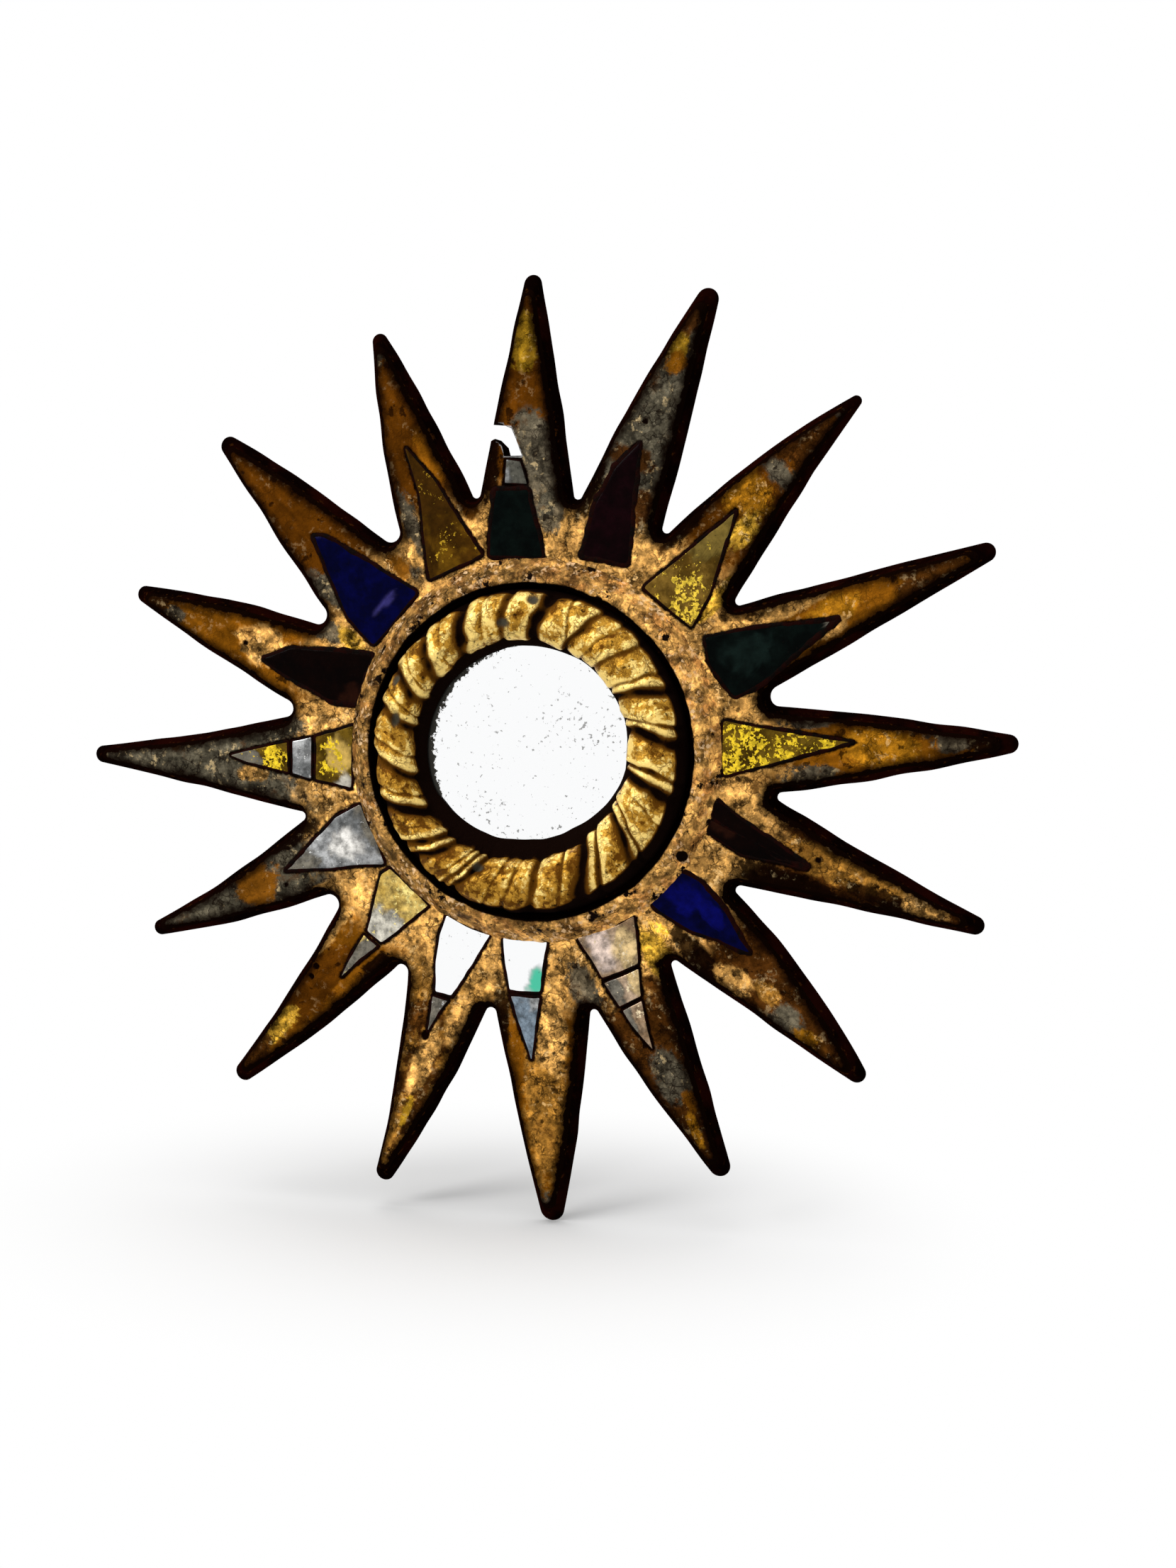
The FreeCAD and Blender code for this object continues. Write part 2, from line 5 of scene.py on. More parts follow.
import bmesh
import bpy
import numpy as np
from bpy.props import FloatProperty, FloatVectorProperty, PointerProperty
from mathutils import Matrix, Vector


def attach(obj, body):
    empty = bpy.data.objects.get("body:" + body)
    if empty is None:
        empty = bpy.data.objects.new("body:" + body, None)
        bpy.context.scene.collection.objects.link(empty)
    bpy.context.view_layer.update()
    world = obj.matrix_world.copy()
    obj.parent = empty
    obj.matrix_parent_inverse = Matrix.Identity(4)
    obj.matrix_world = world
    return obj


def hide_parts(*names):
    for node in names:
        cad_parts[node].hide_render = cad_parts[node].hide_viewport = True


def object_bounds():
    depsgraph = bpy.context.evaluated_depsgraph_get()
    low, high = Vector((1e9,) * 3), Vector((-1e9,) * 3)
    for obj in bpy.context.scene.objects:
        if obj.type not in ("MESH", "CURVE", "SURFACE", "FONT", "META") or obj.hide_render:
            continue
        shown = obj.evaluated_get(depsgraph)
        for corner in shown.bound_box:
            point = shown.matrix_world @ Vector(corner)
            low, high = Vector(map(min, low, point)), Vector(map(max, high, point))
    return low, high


bl_info = {
    "name": "Sunburst wall mirror",
    "version": (1, 0, 0),
    "blender": (4, 5, 0),
    "location": "View3D > Sidebar > Sunburst",
    "description": "Builds a gilded sunburst wall mirror with inlaid glass round its CAD frame",
    "category": "Add Mesh",
}

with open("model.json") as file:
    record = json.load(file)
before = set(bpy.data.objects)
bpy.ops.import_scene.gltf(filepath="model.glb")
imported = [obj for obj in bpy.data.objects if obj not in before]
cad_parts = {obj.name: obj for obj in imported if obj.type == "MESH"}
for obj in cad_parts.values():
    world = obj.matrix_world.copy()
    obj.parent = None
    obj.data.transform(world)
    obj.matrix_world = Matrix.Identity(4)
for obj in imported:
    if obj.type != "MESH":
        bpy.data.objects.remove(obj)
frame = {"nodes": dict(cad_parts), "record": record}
cad_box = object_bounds()

# The pieces of glass in the frame's own order, which the face's windows follow.
glass_nodes = [name for name in frame["nodes"] if name.startswith("glass_")]

# One row for each ray, clockwise from the top: tip angle in degrees, reach, half width on its left and on its
# right at the middle of the ray, tip roundness, then the notch that follows: angle, distance, roundness, and
# how far the tip leans to the left, in degrees. Distances and widths are shares of the star's radius.
RAYS = np.array([
    (90.5, 0.990, 0.073, 0.053, 1.0, 80.5, 0.535, 0.45, 0.00),
    (69.5, 1.015, 0.062, 0.066, 1.2, 59.0, 0.530, 0.45, -0.85),
    (47.5, 0.985, 0.064, 0.052, 0.6, 36.0, 0.525, 0.45, -0.55),
    (24.0, 1.030, 0.062, 0.053, 1.0, 13.0, 0.510, 1.00, -0.15),
    (2.0, 0.995, 0.052, 0.064, 1.0, -9.5, 0.520, 0.45, -0.25),
    (-20.0, 0.995, 0.045, 0.061, 1.0, -33.0, 0.510, 0.50, -0.20),
    (-44.5, 0.965, 0.074, 0.050, 1.0, -56.0, 0.530, 0.45, 0.65),
    (-65.5, 0.980, 0.051, 0.073, 1.2, -77.5, 0.565, 0.45, 0.00),
    (-89.0, 1.020, 0.081, 0.067, 1.4, -100.5, 0.570, 0.60, 0.70),
    (-111.0, 1.025, 0.074, 0.053, 1.1, -122.5, 0.565, 0.70, 0.30),
    (-133.5, 1.030, 0.074, 0.049, 1.1, -144.0, 0.570, 1.00, 0.35),
    (-154.5, 1.000, 0.062, 0.046, 0.9, -164.0, 0.555, 0.50, -0.40),
    (-178.5, 1.045, 0.079, 0.048, 1.0, -188.0, 0.565, 1.00, 0.00),
    (-200.0, 0.990, 0.067, 0.060, 1.0, -210.0, 0.555, 1.00, 0.00),
    (-223.0, 0.980, 0.067, 0.064, 1.1, -234.5, 0.545, 1.00, 0.00),
    (-248.5, 0.950, 0.076, 0.040, 0.9, -256.0, 0.550, 0.45, 0.45),
])
RAY_COUNT = len(RAYS)
# How far out the middle of each ray's flank lies, as a share of the star's radius.
MIDDLE_SHARE = 0.76

# The notch broken out of the first ray, as shares along and to the left of its axis.
CHIP = [(0.690, 0.130), (0.683, 0.062), (0.672, 0.038), (0.655, 0.030), (0.634, 0.021), (0.616, 0.014),
        (0.616, 0.054), (0.636, 0.060), (0.652, 0.076), (0.650, 0.130)]

# Patches of patina by ray: place along and across it, half length and half width, all in thousandths of the
# star's radius, and the finish. They are painted in this order.
PATCHES = {
    1: [(760, 0, 120, 120, "umber"), (600, -15, 115, 60, "pewter"), (850, 12, 60, 36, "olive"),
        (500, -45, 50, 30, "pewter"), (620, 90, 100, 30, "shade")],
    2: [(740, 0, 220, 120, "pewter"), (875, 0, 40, 22, "olive"), (850, -8, 22, 20, "amber"),
        (640, 15, 25, 50, "brown"), (560, -45, 40, 20, "brown"), (560, 75, 80, 25, "shade"),
        (960, 0, 50, 40, "brown")],
    3: [(865, 0, 75, 60, "brown"), (690, 20, 50, 60, "orange"), (770, -4, 22, 50, "pewter"),
        (635, -20, 55, 30, "gold"), (960, 0, 30, 40, "pewter"), (560, 75, 60, 18, "shade"),
        (500, -75, 60, 18, "gold")],
    4: [(880, 10, 120, 50, "brown"), (740, 12, 100, 45, "amber"), (700, 14, 55, 28, "orange"),
        (600, 55, 100, 20, "copper"), (650, -15, 60, 20, "copper"), (1010, 0, 25, 30, "pewter")],
    5: [(740, -5, 100, 70, "amber"), (715, -8, 80, 42, "orange"), (580, 55, 60, 20, "pewter"),
        (590, -60, 60, 22, "pewter"), (870, 15, 50, 30, "pewter"), (950, 0, 50, 30, "shade")],
    6: [(700, 12, 170, 36, "tan"), (620, -60, 140, 30, "shade"), (800, -15, 100, 20, "shade"),
        (870, 0, 50, 30, "copper"), (470, 60, 40, 30, "copper")],
    7: [(660, 30, 160, 60, "brown"), (550, -50, 80, 25, "shade"), (640, -30, 45, 30, "copper"),
        (700, 5, 30, 20, "tan"), (770, -10, 35, 35, "pewter"), (838, -14, 42, 30, "orange"),
        (900, 0, 50, 40, "brown"), (450, -95, 40, 35, "gold")],
    8: [(680, 0, 160, 90, "brown"), (500, 75, 50, 30, "gold"), (740, -5, 65, 40, "pewter"),
        (800, 10, 22, 15, "amber"), (870, -5, 50, 12, "orange"), (500, -105, 60, 30, "pewter"),
        (620, 45, 70, 20, "brown")],
    9: [(720, 20, 220, 50, "tan"), (600, 30, 100, 35, "copper"), (780, 10, 100, 35, "tan"),
        (1000, 0, 50, 60, "pewter"), (560, -80, 80, 20, "shade")],
    10: [(760, 10, 160, 45, "brown"), (720, 10, 90, 26, "copper"), (860, 0, 60, 18, "tan"),
         (840, 14, 40, 10, "olive"), (640, -35, 50, 30, "brown"), (600, 50, 60, 25, "copper")],
    11: [(720, 0, 120, 45, "umber"), (850, 0, 55, 25, "gold"), (620, -60, 80, 20, "copper"),
         (600, 70, 50, 20, "shade"), (950, 0, 60, 30, "brown")],
    12: [(860, 0, 150, 60, "pewter"), (700, 0, 50, 50, "amber"), (560, 85, 80, 22, "copper"),
         (580, -60, 80, 22, "shade")],
    13: [(800, 0, 240, 100, "pewter"), (640, 45, 35, 18, "copper"), (560, -60, 50, 20, "pewter")],
    14: [(940, 0, 60, 40, "brown"), (780, 12, 75, 40, "amber"), (870, 10, 25, 20, "pewter"),
         (650, 0, 60, 45, "copper"), (520, -80, 50, 22, "pewter")],
    15: [(770, 0, 150, 60, "umber"), (840, 4, 70, 35, "umber"), (570, 65, 60, 20, "pewter"),
         (450, 105, 40, 20, "gold"), (480, -85, 40, 20, "amber"), (430, -100, 30, 18, "pewter")],
    16: [(780, 10, 110, 50, "umber"), (660, -20, 60, 30, "amber"), (910, 12, 35, 22, "pewter"),
         (540, 70, 80, 20, "pewter"), (560, -60, 70, 20, "umber")],
}
# The finish of each ray under its patches, clockwise from the top.
GROUNDS = ["umber", "pewter", "umber", "amber", "amber", "brown", "brown", "brown", "amber", "tan", "amber",
           "pewter", "pewter", "amber", "umber", "umber"]
# How loose and crumpled the leaf of each finish is, from smooth at 0.
GRIT = {"umber": 0.12, "amber": 0.18, "orange": 0.6, "brown": 0.5, "olive": 0.5, "tan": 0.7, "gold": 1.0,
        "copper": 0.9, "pewter": 0.7, "shade": 0.4}

# Round dents in the face: ray, place along and across as shares, radius and depth in millimetres.
DENTS = [(7, 0.377, 0.079, 1.7, 1.6), (11, 0.690, -0.030, 1.1, 0.8), (11, 0.715, -0.022, 1.0, 0.8),
         (10, 0.665, -0.005, 1.3, 0.8), (12, 0.640, 0.030, 0.8, 0.5), (8, 0.660, -0.030, 0.9, 0.6),
         (2, 0.720, 0.010, 0.9, 0.4), (6, 0.640, 0.010, 0.8, 0.4), (14, 0.690, 0.010, 0.8, 0.4)]

# Grooves between the bezel's lobes: degrees at the outer edge, degrees turned on the way in, depth as a share
# and half width in millimetres.
GROOVES = [
    (3.5, 10, 1.0, 1.3), (23, 9.5, 0.95, 1.2), (42, 9, 0.4, 0.7), (59.5, 10, 0.7, 0.8), (80, 6, 1.0, 1.5),
    (95, 7, 0.75, 1.1), (113.5, 10, 1.0, 1.6), (131.5, 11, 0.9, 1.3), (148.5, 7, 0.9, 1.3),
    (163, 7, 0.8, 1.1), (180.5, 13, 0.8, 1.1), (199.5, 11, 1.0, 1.5), (216, 9.5, 0.8, 0.9),
    (222.5, 9, 0.9, 1.1), (240.5, 8.5, 0.9, 0.8), (271.5, 6, 0.6, 1.0), (291.5, 13, 1.0, 1.9),
    (315.5, 13, 0.9, 1.2), (343.5, 7, 1.0, 1.4),
]
# Finer folds on single lobes: the same four values.
FOLDS = [
    (9.5, 10, 0.5, 0.5), (30.5, 6, 0.4, 0.55), (51, 8, 0.25, 0.4), (72, -5, 0.35, 0.4), (104, 8, 0.25, 0.4),
    (123.5, 9, 0.3, 0.4), (141, 9, 0.25, 0.4), (156, 7, 0.3, 0.4), (174, 9, 0.3, 0.4), (192, 10, 0.25, 0.4),
    (208, 10, 0.25, 0.4), (232, 9, 0.25, 0.4), (236.5, 8, 0.55, 0.6), (253, 7, 0.25, 0.4), (261, 7, 0.3, 0.5),
    (282, 10, 0.4, 0.6), (300, 14, 0.8, 0.7), (319.5, 15, 0.6, 0.5), (332, 12, 0.25, 0.4), (350, 6, 0.7, 0.7),
]
# Bare grey pits in the bezel: angle in degrees, place across its band and radius in millimetres.
BEZEL_PITS = [(86.0, 5.4, 1.6), (98.7, -2.6, 1.6), (151.9, 5.2, 1.4), (166.2, -1.2, 1.8), (247.5, -4.8, 1.3)]

# Width of the mastic line round a piece of glass, in millimetres, where it isn't the usual one.
LINE_WIDTHS = {
    "glass_01_root": 2.0, "glass_01_tip": 0.5, "glass_02": 2.2, "glass_04": 1.9, "glass_07": 2.0,
    "glass_15": 1.5, "glass_06_upper": 1.5, "glass_06_lower": 1.0, "glass_12": 1.3, "glass_14": 2.0,
    "glass_13_tip": 0.9, "glass_13_middle": 0.7, "glass_08_middle": 0.5, "glass_08_tip": 0.5,
    "glass_08_root": 0.7, "glass_16": 1.2,
}
# Stains and flakes in the glass by piece: the same values as for a patch of patina.
STAINS = {
    "glass_05": [(450, 0, 70, 60, "flake"), (560, 0, 90, 40, "flake")],
    "glass_03": [(460, -30, 70, 50, "flake"), (600, 20, 80, 50, "moss")],
    "glass_13_root": [(450, 10, 34, 50, "flake"), (430, 5, 35, 45, "gilt"), (420, 70, 30, 30, "silver")],
    "glass_01_tip": [(590, -35, 90, 120, "slate")],
    "glass_13_tip": [(585, 10, 28, 40, "flake"), (660, 10, 50, 30, "smoke")],
    "glass_11_root": [(430, 30, 50, 50, "flake"), (510, 20, 50, 50, "silver")],
    "glass_11_tip": [(600, 30, 60, 30, "smoke")],
    "glass_12": [(465, 10, 45, 40, "white"), (400, 0, 30, 90, "smoke"), (600, 20, 60, 50, "smoke")],
    "glass_08_root": [(440, -30, 50, 35, "rose"), (460, 15, 60, 30, "sand"), (480, 20, 40, 30, "flake")],
    "glass_08_middle": [(530, 10, 40, 20, "sand"), (530, 0, 40, 20, "flake"), (530, -40, 40, 20, "smoke")],
    "glass_08_tip": [(600, -10, 40, 15, "flake"), (600, -40, 50, 15, "smoke")],
    "glass_09_tip": [(600, -20, 90, 50, "blue")],
    "glass_10_tip": [(620, 0, 70, 50, "smoke")],
    "glass_09_root": [(478, 2, 24, 18, "green"), (503, 0, 12, 28, "green")],
    "glass_16": [(600, 30, 140, 90, "umber"), (500, 70, 100, 30, "umber"), (460, 30, 35, 30, "flake")],
    "glass_04": [(675, -8, 12, 10, "smoke"), (500, 0, 60, 50, "teal")],
    "glass_07": [(440, 20, 50, 35, "cobalt"), (500, 35, 50, 20, "cobalt")],
    "glass_15": [(452, -10, 10, 40, "haze")],
    "glass_14": [(420, 30, 30, 30, "rust")],
    "glass_06_lower": [(430, 0, 40, 20, "rust")],
}
# Colours of the stains.
STAIN_TONES = {
    "gilt": (0.56, 0.37, 0.09), "moss": (0.17, 0.115, 0.024), "sand": (0.6, 0.43, 0.2),
    "slate": (0.07, 0.067, 0.052), "smoke": (0.15, 0.135, 0.105), "silver": (0.52, 0.49, 0.41),
    "rose": (0.66, 0.52, 0.44), "white": (0.66, 0.64, 0.6), "blue": (0.17, 0.22, 0.27),
    "green": (0.08, 0.55, 0.36), "umber": (0.04, 0.016, 0.0012), "teal": (0.004, 0.009, 0.0075),
    "cobalt": (0.0015, 0.002, 0.08), "haze": (0.03, 0.026, 0.13), "rust": (0.014, 0.0035, 0.0015),
}

# The star's own sizes in millimetres, as the CAD has them. BACK, SEAT and FACE are heights off the wall.
STAR_RADIUS = 125.0
BEVEL = 2.7
VALLEY_RADIUS = 2.6
TIP_RADIUS = 2.4
FACE_TIP_RADIUS = 1.1
TIP_SETBACK = 6.5
BACK = 3.0
SEAT = 7.0
FACE = 9.0
MM = 0.001
# How far cut lines wander by hand, and the radius where that ends, after fading out over a width.
HAND_AMOUNT = 0.32
HAND_END = 124.0
HAND_FADE = 22.0
# Degrees that the round of a notch and of a tip span on each side.
NOTCH_BEND = 67.0
TIP_BEND = 79.5
# Width and drop of the face's rolled edge, and the heights of its sunk windows and of its deepest dent.
ROLL_WIDTH = 1.1
ROLL_DROP = 0.9
WINDOW_FLOOR = SEAT + 0.9
DENT_FLOOR = SEAT + 0.3
# Copper at the roots, under and over the patches: strength, radii where it starts and is full, raggedness.
COPPER_UNDER = (0.95, 72.0, 63.0, 7.0)
COPPER_OVER = (0.85, 57.0, 52.5, 5.0)
# Height of the middle of the mastic bead, and half its thickness.
MASTIC_HEIGHT = 8.86
MASTIC_RISE = 0.42
# Shares of the bevel at the face's rim, where face and base meet, and at the base's eased back edge.
TOP_SHARE = 0.90
SEAM_SHARE = 2.0 / 3.0
BACK_SHARE = 0.10
# Points along a ray's edge and across it, and rows from the collar's inside to the notches.
RAY_STEPS = 88
RAY_COLUMNS = 41
ROOT_ROWS = 27
# Radii in millimetres of the face's inner rim, the bezel's band, the collar and the mirror.
ROOT_INNER = 43.5
BEZEL_MIDDLE = 34.5
BEZEL_OUTER = 42.5
COLLAR_OUTER = 51.6
COLLAR_MIDDLE = 46.0
MIRROR_RADIUS = 31.0
# Radius and rise of the hollow behind the mirror.
HOLLOW_RADIUS = 29.5
HOLLOW_RISE = 2.8
# The mirror's height at its rim, how far its dome rises, and the space kept between it and the bezel.
DOME_RIM = 9.8
DOME_RISE = 2.2
DOME_SPACE = 0.15
# The heights that nothing of the collar or the bezel passes.
COLLAR_TOP = 13.5
BEZEL_TOP = 19.0
# The bezel's crown in millimetres: half its width, the height that it stands on, and its rise.
CROWN_HALF = 8.0
CROWN_FOOT = 13.0
CROWN_RISE = 6.0
# Radius of the felt pad, and how deep the notch in the first ray is cut, in millimetres.
PAD_RADIUS = 42.0
CHIP_DEPTH = 14.0
# The floor: half its width, the distance over which it fades into white, both in metres, and its grey, which
# is painted shade round the spot under the star.
FLOOR_HALF = 3.0
FLOOR_FADE = 0.155
FLOOR_SHADE_GREY = 0.79
# Strength of the even light from all round.
AMBIENT = 0.45
# The camera: its degrees to the right and up, its distance and aim in metres, and its lens in millimetres.
AZIMUTH = 15.0
ELEVATION = 5.0
DISTANCE = 0.5
AIM = (0.0128, 0.0, -0.0090)
SENSOR = 36.0
LENS = SENSOR * 2655.0 / 2212.0


def smooth(low, high, value):
    """Smoothstep from 0 at low to 1 at high."""
    share = np.clip((value - low) / (high - low), 0.0, 1.0)
    return share * share * (3.0 - 2.0 * share)


def bell(value, power=2):
    """A bell curve of height 1 at 0, with a flatter top for a higher even power."""
    return np.exp(-value ** power)


def wander(x, y, z, cell, seed):
    """Smooth noise from -1 to 1: seeded values on a cubic lattice, blended by smoothstep between them."""
    lattice = np.random.RandomState(seed).uniform(-1.0, 1.0, (32, 32, 32))
    place = np.stack(np.broadcast_arrays(x, y, z)).astype(float) / cell + 1000.0
    corner = np.floor(place).astype(int)
    part = place - corner
    part = part * part * (3.0 - 2.0 * part)
    total = np.zeros(place.shape[1:])
    for step in itertools.product((0, 1), repeat=3):
        weight = np.ones(place.shape[1:])
        for axis in range(3):
            weight = weight * (part[axis] if step[axis] else 1.0 - part[axis])
        index = [(corner[axis] + step[axis]) % 32 for axis in range(3)]
        total = total + weight * lattice[index[0], index[1], index[2]]
    return total


def layers(x, z, *parts):
    """Sum of wandering noise over x and z, each part with its height, level, cell size and seed."""
    return sum(height * wander(x, level, z, cell, seed) for height, level, cell, seed in parts)


def turned(angle, along, across):
    """Points at a distance along a direction and to its left, as x and z."""
    return np.stack([along * np.cos(angle) - across * np.sin(angle),
                     along * np.sin(angle) + across * np.cos(angle)], axis=-1)


def polar(radius, turn):
    """Points at a radius and an angle, as x and z."""
    return np.stack([radius * np.cos(turn), radius * np.sin(turn)], axis=-1)


def full_turn(count):
    """Angles spread evenly round a circle."""
    return np.linspace(0.0, 2.0 * math.pi, count + 1)[:-1]


def towards(turn, degrees):
    """1 in one direction, falling off by cosine to -1 on the far side."""
    return np.cos(turn - math.radians(degrees))


def closed(*parts):
    """Each grid with its first row again at its end."""
    return [np.concatenate([part, part[:1]]) for part in parts]


def crowded(count, share):
    """Places from 0 to 1, closer together at both ends, the more so the larger share is."""
    even = np.linspace(0.0, 1.0, count)
    return (1.0 - share) * even + share * (0.5 - 0.5 * np.cos(math.pi * even))


def ellipse(x, z, ray, shares):
    """A value that is 0 in the middle of an ellipse on a ray and 1 on its border.

    shares are its place along and across the ray and its half length and half width, in thousandths of the
    star's radius.
    """
    along, across, half_length, half_width = np.array(shares) / 1000.0
    place = turned(-math.radians(RAYS[ray - 1, 0]), x, z) / STAR_RADIUS
    return ((place[..., 0] - along) / half_length) ** 2 + ((place[..., 1] - across) / half_width) ** 2


def hand_shift(flat):
    """Moves x and z by smooth noise that fades out towards the tips, so that cut lines look hand-made."""
    radius = np.hypot(flat[..., 0], flat[..., 1])
    amount = HAND_AMOUNT * np.clip((HAND_END - radius) / HAND_FADE, 0.0, 1.0)
    shift_x = wander(flat[..., 0], 0.0, flat[..., 1], 8.0, 11)
    shift_z = wander(flat[..., 0], 50.0, flat[..., 1], 8.0, 12)
    return flat + amount[..., None] * np.stack([shift_x, shift_z], axis=-1)


def arc_through(first, middle, last, steps):
    """Points on the circle through three points, for many triples at once: (rows, steps, 2)."""
    ax, az = first[:, 0], first[:, 1]
    bx, bz = middle[:, 0], middle[:, 1]
    cx, cz = last[:, 0], last[:, 1]
    double = 2.0 * (ax * (bz - cz) + bx * (cz - az) + cx * (az - bz))
    a2, b2, c2 = ax ** 2 + az ** 2, bx ** 2 + bz ** 2, cx ** 2 + cz ** 2
    ux = (a2 * (bz - cz) + b2 * (cz - az) + c2 * (az - bz)) / double
    uz = (a2 * (cx - bx) + b2 * (ax - cx) + c2 * (bx - ax)) / double
    radius = np.hypot(ax - ux, az - uz)
    start = np.arctan2(az - uz, ax - ux)
    half = np.angle(np.exp(1j * (np.arctan2(bz - uz, bx - ux) - start)))
    rest = np.angle(np.exp(1j * (np.arctan2(cz - uz, cx - ux) - start - half)))
    turn = start[:, None] + (half + rest)[:, None] * np.linspace(0.0, 1.0, steps)
    return np.stack([ux[:, None] + radius[:, None] * np.cos(turn),
                     uz[:, None] + radius[:, None] * np.sin(turn)], axis=-1)


def spread_evenly(line, places):
    """A line's points at given shares of its length."""
    length = np.concatenate([[0.0], np.cumsum(np.hypot(*np.diff(line, axis=0).T))])
    wanted = places * length[-1]
    return np.stack([np.interp(wanted, length, line[:, 0]), np.interp(wanted, length, line[:, 1])], axis=-1)


def ray_edges(side, share):
    """One edge of every ray, side 1 for left and -1 for right, from its notch to its tip: (rays, steps, 2).

    A round of the notch, one arc along the flank and a round of the tip are joined and spread by their
    length, a little closer at both ends. share draws the edge in from the silhouette towards the face.
    """
    angle = np.radians(RAYS[:, 0])[:, None]
    shift = 1 if side > 0 else 0
    notch_angle = np.radians(np.roll(RAYS[:, 5], shift))[:, None]
    floor = np.roll(RAYS[:, 6], shift)[:, None] * STAR_RADIUS
    round_radius = VALLEY_RADIUS * np.roll(RAYS[:, 7], shift)[:, None]
    bend = np.radians(np.linspace(0.0, NOTCH_BEND, 8))[None, :]
    radius = round_radius + BEVEL * share
    valley = turned(notch_angle, floor + round_radius - radius * np.cos(bend), -side * radius * np.sin(bend))
    outer = TIP_RADIUS * RAYS[:, 4][:, None]
    radius = outer + (FACE_TIP_RADIUS * RAYS[:, 4][:, None] - outer) * share
    end = STAR_RADIUS * RAYS[:, 1][:, None] - TIP_SETBACK * share
    bend = np.radians(np.linspace(TIP_BEND, 0.0, 9))[None, :]
    lean = angle + np.radians(RAYS[:, 8])[:, None]
    tip = turned(lean, end - radius + radius * np.cos(bend), side * radius * np.sin(bend))
    half_width = STAR_RADIUS * RAYS[:, 2 if side > 0 else 3][:, None] - BEVEL * share
    middle = turned(angle, STAR_RADIUS * MIDDLE_SHARE, side * half_width)[:, 0]
    flank = arc_through(valley[:, -1], middle, tip[:, 0], 40)
    joined = np.concatenate([valley, flank[:, 1:-1], tip], axis=1)
    places = crowded(RAY_STEPS, 0.45)
    return np.stack([spread_evenly(line, places) for line in joined])


def root_grid(share, inner, rows, columns):
    """The part of each ray's sector inside its two notches, on arcs from one notch's line to the next."""
    before = np.radians(np.concatenate([[RAYS[-1, 5] + 360.0], RAYS[:-1, 5]]))[:, None, None]
    after = np.radians(RAYS[:, 5])[:, None, None]
    floor_before = (np.roll(RAYS[:, 6], 1) * STAR_RADIUS - BEVEL * share)[:, None, None]
    floor_after = (RAYS[:, 6] * STAR_RADIUS - BEVEL * share)[:, None, None]
    out = np.linspace(0.0, 1.0, rows)[None, :, None]
    turn = columns[None, None, :]
    angle = before + (after - before) * turn
    left = inner + (floor_before - inner) * out
    right = inner + (floor_after - inner) * out
    radius = left + (right - left) * turn
    return polar(radius, angle)


def segment_distance(points, line, ring=False):
    """Distance from each point to a line of straight segments, which ring joins at its ends."""
    start = line if ring else line[:-1]
    end = np.roll(line, -1, axis=0) if ring else line[1:]
    run = end - start
    offset = points[:, None, :] - start[None]
    share = np.clip((offset * run).sum(-1) / np.maximum((run * run).sum(-1), 1e-9), 0.0, 1.0)
    gap = offset - share[..., None] * run[None]
    return np.sqrt((gap * gap).sum(-1).min(axis=1))


def inside(points, loop):
    """Whether each point lies inside a closed loop: an odd number of crossings to its right."""
    after = np.roll(loop, -1, axis=0)
    px, pz = points[:, None, 0], points[:, None, 1]
    spans = (loop[None, :, 1] > pz) != (after[None, :, 1] > pz)
    rise = np.where(np.abs(after[:, 1] - loop[:, 1]) < 1e-9, 1e-9, after[:, 1] - loop[:, 1])
    cross = loop[None, :, 0] + (pz - loop[None, :, 1]) / rise * (after[:, 0] - loop[:, 0])
    return (spans & (px < cross)).sum(axis=1) % 2 == 1


def glass_loop(node, steps=120, rounding=5):
    """The outline of a piece of glass: the front corners of its CAD node in order round their middle.

    The outline is spread evenly, its corners are eased by averaging neighbours, and it takes the hand shift.
    """
    mesh = frame["nodes"][node].data
    points = np.empty(len(mesh.vertices) * 3)
    mesh.vertices.foreach_get("co", points)
    points = points.reshape(-1, 3) / MM
    front = points[points[:, 1] < points[:, 1].min() + 0.01][:, [0, 2]]
    front = np.unique(np.round(front, 3), axis=0)
    around = front - front.mean(axis=0)
    front = front[np.argsort(np.arctan2(around[:, 1], around[:, 0]))]
    ring = np.concatenate([front, front[:1]])
    even = spread_evenly(ring, np.arange(steps * 4) / (steps * 4))
    window = range(-rounding, rounding + 1)
    eased = sum(np.roll(even, step, axis=0) for step in window) / len(window)
    return hand_shift(eased[::4])


def quads(rows, columns, start=0, ring=False):
    """Faces of a grid of points, closed across its columns where ring is true."""
    row = np.arange(rows - 1)[:, None] * columns
    column = np.arange(columns if ring else columns - 1)[None, :]
    after = (column + 1) % columns
    faces = np.stack([row + column, row + after, row + columns + after, row + columns + column], axis=-1)
    return (faces.reshape(-1, 4) + start).tolist()


COLOUR_VALUES = ("patina", "patina_worn", "stain")


